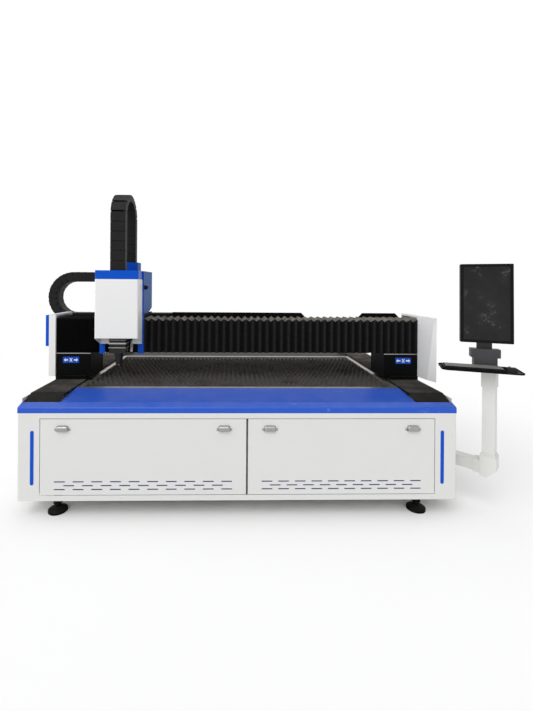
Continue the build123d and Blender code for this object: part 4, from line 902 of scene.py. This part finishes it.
def nearest_share(mesh, path, run_in, run_out):
    """How far along a chain each vertex lies: 0 to 0.5 on the first run, 0.5 on the loop, then to 1."""
    places = vertex_places(mesh)
    lengths = path_lengths(path)
    best = np.full(len(places), np.inf)
    along = np.zeros(len(places))
    for index, (before, after) in enumerate(zip(path, path[1:])):
        way = np.array(after - before)
        size = float(np.linalg.norm(way))
        share = np.clip((places - np.array(before)) @ way / size ** 2, 0, 1)
        gap = np.linalg.norm(places - np.array(before) - share[:, None] * way, axis=1)
        closer = gap < best
        best[closer] = gap[closer]
        along[closer] = lengths[index] + share[closer] * size
    back = lengths[-1] - run_out
    first = 0.5 * np.clip(along / run_in, 0, 1)
    last = 0.5 * np.clip((along - back) / run_out, 0, 1)
    return first + last


class LASER_OT_chains(bpy.types.Operator):
    """Cable chains of the carriage and of the head, with the cables in them"""

    bl_idname = "laser_cutter.chains"
    bl_label = "Cable chains"

    x_link_height = 0.09
    x_link_pitch = 0.06
    z_link_height = 0.058
    z_link_pitch = 0.08
    cable_count = 4
    cable_spread = 0.8
    upper_run_depth = 0.05

    def execute(self, context):
        self.x_chain()
        self.z_chain()
        return {"FINISHED"}

    def finish_chain(self, node, path, run_in, run_out, height, width, pitch, across, bodies):
        """The links, which stand for a node, and the cables in them."""
        mesh = chain_links(f"{node}_links", path, pitch, height, width, across)
        links = place_piece(f"{node}_links", mesh, None)
        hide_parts(node)
        gaps = self.cable_count + 1
        spread = [width * (index / gaps - 0.5) * self.cable_spread for index in range(1, gaps)]
        mesh = cable_mesh(f"{node}_cables", path, across, spread, settings().sizes.cable_radius)
        cables = place_piece(f"{node}_cables", mesh, None, "cable_sheath")
        for piece, slot in ((links, "chain_plastic"), (cables, "dark_plastic")):
            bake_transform(piece)
            1 - nearest_share(piece.data, path, run_in, run_out)

    def x_chain(self):
        """The chain along the gantry, with its loop at the left."""
        low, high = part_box("x_chain")
        height = self.x_link_height
        radius = (high.z - low.z - height) / 2
        loop_x = low.x + radius + height / 2
        middle_y = (low.y + high.y) / 2
        start = Vector((self.moving_end(), middle_y, high.z - height / 2))
        run_in = start.x - loop_x
        run_out = high.x - loop_x
        path = chain_path(start, run_in, radius, run_out, (-1, 0, 0), (0, 0, -1))
        self.finish_chain("x_chain", path, run_in, run_out, height, high.y - low.y, self.x_link_pitch,
                          (0, 1, 0), ("gantry", "carriage"))

    def moving_end(self):
        """Where the upper run meets the lug on the carriage's back."""
        places = vertex_places(NODES["x_chain"].data)
        top = places[places[:, 2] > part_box("x_chain")[1].z - self.upper_run_depth]
        return float(top[:, 0].max())

    def z_chain(self):
        """The upright chain over the head, with its loop at the top."""
        low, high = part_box("z_chain")
        height = self.z_link_height
        radius = (high.y - low.y - height) / 2
        middle_x = (low.x + high.x) / 2
        front_y = low.y + height / 2
        loop_z = high.z - radius - height / 2
        start = Vector((middle_x, front_y, low.z))
        run_in = loop_z - low.z
        run_out = loop_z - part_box("carriage_housing")[1].z
        path = chain_path(start, run_in, radius, run_out, (0, 0, 1), (0, 1, 0))
        self.finish_chain("z_chain", path, run_in, run_out, height, high.x - low.x, self.z_link_pitch,
                          (1, 0, 0), ("carriage", "head"))


# Cabinet and drawers

class LASER_OT_cabinet(bpy.types.Operator):
    """Finishes of the frame, the panels, the apron and the feet, and the panels' screws"""

    bl_idname = "laser_cutter.cabinet"
    bl_label = "Cabinet"

    screw_inset = 0.035
    screw_pitch = 0.36

    def execute(self, context):
        dress("panel_coat", "front_panel", "side_panels", "back_panel")
        dress("apron_coat", "front_apron")
        dress("blue_coat", "accent_strips")
        dress("black_coat", "rear_deck", "bellows_end_plates")
        dress("arm_coat", "base_frame", "arm_bracket")
        dress("foot_rubber", "levelling_feet")
        low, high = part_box("side_panels")
        self.edge_screws("left", low, Vector((low.x, high.y, high.z)), (-1, 0, 0))
        self.edge_screws("right", Vector((high.x, low.y, low.z)), high, (1, 0, 0))
        low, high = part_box("back_panel")
        self.edge_screws("back", Vector((low.x, high.y, low.z)), high, (0, 1, 0))
        return {"FINISHED"}

    def edge_screws(self, side, low, high, axis):
        """Screws in a row along the upper and the lower edge of an upright panel."""
        along = Vector((high.x - low.x, high.y - low.y, 0))
        start = low + along.normalized() * self.screw_inset
        run = along.length - 2 * self.screw_inset
        count = round(run / self.screw_pitch)
        points = []
        for rise in (self.screw_inset, high.z - low.z - self.screw_inset):
            for index in range(count + 1):
                spot = start + along.normalized() * run * index / count
                points.append((spot.x, spot.y, low.z + rise))
        screws(f"panel_screws_{side}", points, axis, settings().sizes.screw_radius, "base")


class LASER_OT_drawers(bpy.types.Operator):
    """Drawer fronts with blades in their air slots, trays, and pulls with their screws"""

    bl_idname = "laser_cutter.drawers"
    bl_label = "Scrap drawers"

    row_counts = (10, 9, 10)
    row_pitch = 0.027
    first_row = 0.038
    slot_inset = 0.098
    blade_gaps = (0.0005, 0.0004)
    blade_half = 0.0007
    blade_edge = 0.0003
    blade_setback = 0.002
    pull_width = 0.11
    pull_flange = 0.003
    pull_screw_inset = 0.0065
    pull_screw_rise = 0.009

    def execute(self, context):
        for side in ("left", "right"):
            dress("panel_coat", f"drawer_front_{side}")
            dress("bare_steel", f"scrap_tray_{side}")
            dress("zinc", f"pulls_{side}")
            self.blades(side)
            self.pull_screws(side)
        return {"FINISHED"}

    def blades(self, side):
        """Blue blades that stand back in the air slots, in a darker blue that is painted shade."""
        sizes = settings().sizes
        low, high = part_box(f"drawer_front_{side}")
        shape = bmesh.new()
        end_gap, side_gap = self.blade_gaps
        half = Vector((sizes.slot_length / 2 - end_gap, self.blade_half, sizes.slot_height / 2 - side_gap))
        add_block(shape, -half, half, self.blade_edge)
        span = high.x - low.x - 2 * self.slot_inset - sizes.slot_length
        pitch = span / (max(self.row_counts) - 1)
        middle = (low.x + high.x) / 2
        y = low.y + self.blade_setback
        points = []
        for row, count in enumerate(self.row_counts):
            z = low.z + self.first_row + row * self.row_pitch
            points += [(middle + (index - (count - 1) / 2) * pitch, y, z) for index in range(count)]
        mesh = copies(f"slot_blades_{side}", to_mesh("blade", shape), points, (0, 0, 1), "slot_shade_coat")
        place_piece(f"slot_blades_{side}", mesh, f"drawer_{side}")

    def pull_screws(self, side):
        """A screw at each end of the two pulls."""
        low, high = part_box(f"pulls_{side}")
        y = high.y - self.pull_flange
        z = low.z + self.pull_screw_rise
        points = []
        for start in (low.x, high.x - self.pull_width):
            for reach in (self.pull_screw_inset, self.pull_width - self.pull_screw_inset):
                points.append((start + reach, y, z))
        screws(f"pull_screws_{side}", points, (0, -1, 0), settings().sizes.screw_radius, f"drawer_{side}")


class LASER_OT_slat_bed(bpy.types.Operator):
    """Finishes of the bed's rim, its saw-tooth slats and the long guides"""

    bl_idname = "laser_cutter.slat_bed"
    bl_label = "Slat bed"

    def execute(self, context):
        dress("bare_steel", "bed_rim", "y_rails", "y_racks")
        dress("burnt_steel", "saw_slats")
        return {"FINISHED"}


# Gantry, carriage and head

ARROW = ((0.5, 0.0), (0.1, 0.42), (0.1, 0.16), (-0.5, 0.16), (-0.5, -0.16), (0.1, -0.16), (0.1, -0.42))
BAR = ((-0.09, -0.5), (0.09, -0.5), (0.09, 0.5), (-0.09, 0.5))


def sized(outline, width, height):
    """An outline made larger or smaller about the origin."""
    return [(x * width, y * height) for x, y in outline]


class LASER_OT_gantry(bpy.types.Operator):
    """Finishes of the beam, the legs and the end covers, and the plates with the axis letter"""

    bl_idname = "laser_cutter.gantry"
    bl_label = "Gantry"

    plate_thickness = 0.002
    plate_place = 1.42
    plate_drop = 0.06
    plate_edge = 0.0008
    mark_share = 0.7
    mark_lift = 0.0006
    arrow_place = 0.31
    bar_slope = math.radians(35)
    bar_step = 0.0002
    lip_depth = 0.002
    lip_height = 0.007
    lip_edge = 0.0006
    top_tolerance = 0.002

    def execute(self, context):
        dress("black_coat", "gantry_beam", "gantry_legs", "y_motors", "chain_trough")
        dress("white_coat", "end_cover_left", "end_cover_right")
        dress("blue_coat", "end_bar")
        dress("bare_steel", "y_guide_blocks", "x_rails", "x_rack", "y_pinion_left", "y_pinion_right")
        for side in (-1, 1):
            self.axis_plate(side)
        self.lips()
        return {"FINISHED"}

    def leg_front(self):
        """The middle of the legs in X, the Y of their front and the Z of their top."""
        low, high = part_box("gantry_legs")
        places = vertex_places(NODES["gantry_legs"].data)
        front = float(places[places[:, 2] > high.z - self.top_tolerance][:, 1].min())
        return (low.x + high.x) / 2, front, high.z

    def lips(self):
        """Bright strips along the front of each leg's top."""
        middle, front, top = self.leg_front()
        places = vertex_places(NODES["gantry_legs"].data)[:, 0] - middle
        outer = float(places.max())
        inner = float(places[places > 0].min())
        shape = bmesh.new()
        for low, high in ((inner, outer), (-outer, -inner)):
            start = (middle + low, front - self.lip_depth, top - self.lip_height)
            add_block(shape, start, (middle + high, front, top), self.lip_edge)
        place_shape("leg_lips", shape, "gantry", "zinc")

    def axis_plate(self, side):
        """A blue plate with an X between two arrows, on the front of a leg."""
        sizes = settings().sizes
        middle, front, top = self.leg_front()
        centre = Vector((middle + side * self.plate_place, front, top - self.plate_drop))
        label = "left" if side < 0 else "right"
        plate = bmesh.new()
        half = Vector((sizes.plate_width / 2, 0, sizes.plate_height / 2))
        depth = Vector((0, self.plate_thickness, 0))
        add_block(plate, centre - half - depth, centre + half, self.plate_edge)
        place_shape(f"axis_plate_{label}", plate, "gantry", "blue_coat")
        marks = bmesh.new()
        turn = Matrix.Rotation(math.pi / 2, 4, "X")
        mark = sizes.plate_height * self.mark_share
        face = centre - depth
        for way in (-1, 1):
            spot = face + Vector((way * sizes.plate_width * self.arrow_place, 0, 0))
            arrow = sized(ARROW, way * mark, mark)
            add_prism(marks, arrow, self.mark_lift, Matrix.Translation(spot) @ turn)
            slope = Matrix.Rotation(way * self.bar_slope, 4, "Z")
            lift = self.mark_lift + self.bar_step * (way > 0)
            add_prism(marks, sized(BAR, mark, mark), lift, Matrix.Translation(face) @ turn @ slope)
        place_shape(f"axis_marks_{label}", marks, "gantry", "sign_white")


class LASER_OT_carriage(bpy.types.Operator):
    """Finishes of the carriage and the cable gland on its side"""

    bl_idname = "laser_cutter.carriage"
    bl_label = "Carriage"

    gland_inset = 0.035
    gland_drop = 0.22
    # The radius, the depth, the sides and the top's share of each disc
    gland_rings = ((0.02, 0.006, 6, 1.0), (0.016, 0.014, 24, 1.0), (0.016, 0.01, 24, 0.6))

    def execute(self, context):
        dress("carriage_blue", "carriage_housing")
        dress("black_coat", "carriage_frame", "x_motor", "z_motor")
        dress("bare_steel", "x_guide_blocks", "x_pinion", "z_rails")
        self.gland()
        return {"FINISHED"}

    def gland(self):
        """A black gland on the right side of the housing."""
        low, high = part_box("carriage_housing")
        foot = (high.x, low.y + self.gland_inset, high.z - self.gland_drop)
        shape = bmesh.new()
        add_discs(shape, foot, (1, 0, 0), self.gland_rings)
        place_shape("housing_gland", shape, "carriage", "dark_plastic")


class LASER_OT_cutting_head(bpy.types.Operator):
    """Finishes of the head, its cover and its cap, and the body's bands and connectors"""

    bl_idname = "laser_cutter.cutting_head"
    bl_label = "Cutting head"

    # The foot and the depth of each band
    bands_at = ((0.002, 0.006), (0.034, 0.012), (0.066, 0.004))
    band_proud = 0.0015
    band_edge = 0.001
    connectors_at = (0.022, 0.055)
    connector_rings = ((0.009, 0.012, 20, 1.0), (0.007, 0.01, 20, 1.0))
    side_tolerance = 0.001

    def execute(self, context):
        dress("white_coat", "head_cover")
        dress("blue_coat", "head_cap")
        dress("head_steel", "cutting_head", "z_plate")
        dress("copper", "nozzle")
        low, high = self.body()
        self.bands(low, high)
        self.connectors(low, high)
        return {"FINISHED"}

    def body(self):
        """The corners of the head's square body, which is its widest part."""
        box_low, box_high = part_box("cutting_head")
        places = vertex_places(NODES["cutting_head"].data)
        side = places[np.abs(places[:, 0] - box_low.x) < self.side_tolerance]
        low = Vector((box_low.x, float(side[:, 1].min()), float(side[:, 2].min())))
        return low, Vector((box_high.x, float(side[:, 1].max()), box_high.z))

    def bands(self, low, high):
        """Bright bands around the body, where its modules meet."""
        shape = bmesh.new()
        proud = Vector((self.band_proud, self.band_proud, 0))
        for foot, depth in self.bands_at:
            start = Vector((low.x, low.y, low.z + foot)) - proud
            stop = Vector((high.x, high.y, low.z + foot + depth)) + proud
            add_block(shape, start, stop, self.band_edge)
        place_shape("head_bands", shape, "head", "bare_steel")

    def connectors(self, low, high):
        """Two round connectors on the right of the body."""
        shape = bmesh.new()
        middle = (low.y + high.y) / 2
        for rise in self.connectors_at:
            add_discs(shape, (high.x, middle, low.z + rise), (1, 0, 0), self.connector_rings)
        place_shape("head_connectors", shape, "head", "dark_plastic")


# Console

class LASER_OT_console(bpy.types.Operator):
    """The arm, the tray with a keyboard and a mouse, and the upright screen"""

    bl_idname = "laser_cutter.console"
    bl_label = "Operator's console"

    # How far each row of keys is shifted, in keys
    row_shifts = (0.4, 0.5, 0.4, 0.6, 0.5, 0.4)
    cap_share = 0.43
    cap_sink = 0.001
    cap_rise = 0.0035
    cap_edge = 0.0015
    wheel_place = 0.2
    wheel_sink = 0.008
    wheel_radius = 0.011
    wheel_width = 0.008
    tiny = 1e-6

    def execute(self, context):
        dress("arm_coat", "arm_tube", "knee", "column")
        dress("black_coat", "console_tray")
        dress("dark_plastic", "monitor_case", "keyboard", "mouse")
        dress("stand_plastic", "monitor_bracket")
        dress("screen_glass", "screen")
        self.keys()
        self.mouse_wheel()
        return {"FINISHED"}

    def flat_frame(self, node):
        """A matrix at the middle of a node's top, turned with its narrowest outline, and its two sizes."""
        mesh = NODES[node].data
        places = vertex_places(mesh)
        best = None
        for edge in mesh.edges:
            step = places[edge.vertices[1]] - places[edge.vertices[0]]
            if abs(step[2]) > self.tiny or step @ step < self.tiny:
                continue
            along = step / math.sqrt(step @ step)
            back = np.array((-along[1], along[0], 0.0))
            spans = [(float((places @ axis).min()), float((places @ axis).max())) for axis in (along, back)]
            width, breadth = (span[1] - span[0] for span in spans)
            if width > breadth and (best is None or width * breadth < best[0]):
                best = width * breadth, along, back, spans
        along, back, spans = Vector(best[1]), Vector(best[2]), best[3]
        centre = along * sum(spans[0]) / 2 + back * sum(spans[1]) / 2
        centre.z = float(places[:, 2].max())
        matrix = Matrix((along, back, (0, 0, 1))).transposed().to_4x4()
        matrix.translation = centre
        return matrix, spans[0][1] - spans[0][0], spans[1][1] - spans[1][0]

    def keys(self):
        """Key caps in staggered rows on the keyboard."""
        pitch = settings().sizes.key_pitch
        place, width, breadth = self.flat_frame("keyboard")
        turn = place.to_3x3().to_4x4()
        if turn[0][0] < 0:
            turn = turn @ Matrix.Rotation(math.pi, 4, "Z")
        shape = bmesh.new()
        half = pitch * self.cap_share
        add_block(shape, (-half, -half, -self.cap_sink), (half, half, self.cap_rise), self.cap_edge, 2)
        bmesh.ops.transform(shape, matrix=turn, verts=shape.verts)
        across = int(width / pitch) - 1
        deep = int(breadth / pitch) - 1
        centre = Matrix.Translation(place.translation) @ turn
        points = []
        for row in range(deep):
            shift = self.row_shifts[row % len(self.row_shifts)]
            y = ((deep - 1) / 2 - row) * pitch
            for index in range(across):
                x = (index + shift - across / 2) * pitch
                points.append(tuple(centre @ Vector((x, y, 0))))
        mesh = copies("key_caps", to_mesh("key_cap", shape), points, (0, 0, 1), "key_plastic")
        place_piece("key_caps", mesh, "console")

    def mouse_wheel(self):
        """A wheel between the mouse's two buttons."""
        place, width = self.flat_frame("mouse")[:2]
        way = place.to_3x3() @ Vector((1, 0, 0))
        if way.y < 0:
            way.negate()
        across = Vector((-way.y, way.x, 0))
        centre = place.translation + way * width * self.wheel_place - Vector((0, 0, self.wheel_sink))
        foot = centre - across * self.wheel_width / 2
        shape = bmesh.new()
        add_disc(shape, foot, across, self.wheel_radius, self.wheel_width, 24)
        place_shape("mouse_wheel", shape, "console", "key_plastic")


# Stage

class LASER_OT_stage(bpy.types.Operator):
    """Floor, soft light and a camera at the photograph's place"""

    bl_idname = "laser_cutter.stage"
    bl_label = "Stage"

    camera_height = 1.66
    camera_distance = 2.71
    camera_turn = math.radians(1.2)
    camera_roll = math.radians(0.4)
    clip_range = (0.05, 100.0)
    floor_half = 40
    floor_fade = (3.0, 7.0)
    world_light = 0.75
    lamp_angle = math.radians(40)
    # The name, the strength and the way of each lamp
    lamps = (("lamp", 1.05, (0.28, 0.62, -0.72)), ("fill", 0.8, (0.97, 0.06, -0.24)))

    def execute(self, context):
        self.floor()
        self.light()
        self.world()
        self.camera()
        context.scene.view_settings.view_transform = "Standard"
        return {"FINISHED"}

    def origin(self):
        """The middle of the cabinet's front, on the floor."""
        low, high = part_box("front_panel")
        return Vector(((low.x + high.x) / 2, low.y, 0))

    def floor(self):
        """A pale floor that keeps the shadow and turns plain white further away."""
        shape = bmesh.new()
        bmesh.ops.create_grid(shape, x_segments=1, y_segments=1, size=self.floor_half)
        ground = new_object("studio_floor", to_mesh("studio_floor", shape))
        surface, tree, shader, place = blank_material("studio_floor", Roughness=0.9)
        drifted = drifting(tree, place, rgba(settings().colours.floor), scale=1.0, amount=0.02)
        tree.links.new(drifted, shader.inputs["Base Color"])
        reach = add(tree, "ShaderNodeVectorMath", {0: place}, operation="LENGTH").outputs["Value"]
        far = step_between(tree, reach, *self.floor_fade)
        white = add(tree, "ShaderNodeEmission", {"Color": WHITE, "Strength": 1.0}).outputs[0]
        blend = add(tree, "ShaderNodeMixShader", {0: far, 1: shader.outputs[0], 2: white}).outputs[0]
        output = next(node for node in tree.nodes if node.type == "OUTPUT_MATERIAL")
        tree.links.new(blend, output.inputs["Surface"])
        ground.data.materials.append(surface)

    def light(self):
        """Two wide, soft lamps, far enough away to light all of it alike: a main one and a low fill."""
        for name, energy, way in self.lamps:
            data = bpy.data.lights.new(name, "SUN")
            data.energy = energy
            data.angle = self.lamp_angle
            lamp = new_object(name, data)
            lamp.rotation_euler = Vector(way).to_track_quat("-Z", "Y").to_euler()

    def world(self):
        """A soft light from all sides, which shows as plain white."""
        world = bpy.data.worlds.new("studio")
        bpy.context.scene.world = world
        world.use_nodes = True
        tree = world.node_tree
        tree.nodes.clear()
        rays = add(tree, "ShaderNodeLightPath").outputs
        seen = math_node(tree, "MAXIMUM", rays["Is Camera Ray"], rays["Is Glossy Ray"])
        seen = math_node(tree, "MAXIMUM", seen, rays["Is Transmission Ray"])
        lit = add(tree, "ShaderNodeBackground", {"Color": WHITE, "Strength": self.world_light})
        white = add(tree, "ShaderNodeBackground", {"Color": WHITE, "Strength": 1.0})
        mix = add(tree, "ShaderNodeMixShader", {0: seen, 1: lit.outputs[0], 2: white.outputs[0]})
        add(tree, "ShaderNodeOutputWorld", {"Surface": mix.outputs[0]})

    def camera(self):
        """A camera that stands and looks as the photograph's did."""
        data = bpy.data.cameras.new("camera")
        data.sensor_width = SENSOR
        data.lens = SENSOR * FOCAL_PIXELS / IMAGE_HEIGHT
        data.shift_x = (IMAGE_WIDTH / 2 - AXIS_PIXEL_X) / IMAGE_HEIGHT
        data.shift_y = (HORIZON_PIXEL_Y - IMAGE_HEIGHT / 2) / IMAGE_HEIGHT
        data.clip_start, data.clip_end = self.clip_range
        camera = new_object("camera", data)
        turn = self.camera_turn
        away = Vector((math.sin(turn), math.cos(turn), 0)) * self.camera_distance
        camera.location = self.origin() - away + Vector((0, 0, self.camera_height))
        level = Matrix.Rotation(-turn, 3, "Z") @ Matrix.Rotation(math.pi / 2, 3, "X")
        camera.rotation_euler = (level @ Matrix.Rotation(self.camera_roll, 3, "Z")).to_euler()
        bpy.context.scene.camera = camera


class LASER_PT_panel(bpy.types.Panel):
    """Lists the machine's pieces in the sidebar"""

    bl_idname = "LASER_PT_panel"
    bl_label = "Laser cutting machine"
    bl_space_type = "VIEW_3D"
    bl_region_type = "UI"
    bl_category = "Laser cutter"

    def draw(self, context):
        for operator in OPERATORS:
            self.layout.operator(operator.bl_idname)


OPERATORS = (
    LASER_OT_cabinet, LASER_OT_drawers, LASER_OT_slat_bed, LASER_OT_bellows, LASER_OT_gantry, LASER_OT_chains,
    LASER_OT_carriage, LASER_OT_cutting_head, LASER_OT_console, LASER_OT_stage,
)
CLASSES = (MachineColours, MachineSizes, MachineSettings, *OPERATORS, LASER_PT_panel)


def register():
    for item in CLASSES:
        bpy.utils.register_class(item)
    bpy.types.Scene.laser_cutter = PointerProperty(type=MachineSettings, name="Laser cutter",
                                                   description="Settings of the laser cutting machine")


def unregister():
    del bpy.types.Scene.laser_cutter
    for item in reversed(CLASSES):
        bpy.utils.unregister_class(item)


def main():
    register()
    pieces = bpy.ops.laser_cutter
    pieces.cabinet()
    pieces.drawers()
    pieces.slat_bed()
    pieces.bellows()
    pieces.gantry()
    pieces.chains()
    pieces.carriage()
    pieces.cutting_head()
    pieces.console()
    pieces.stage()


if __name__ == "__main__":
    main()
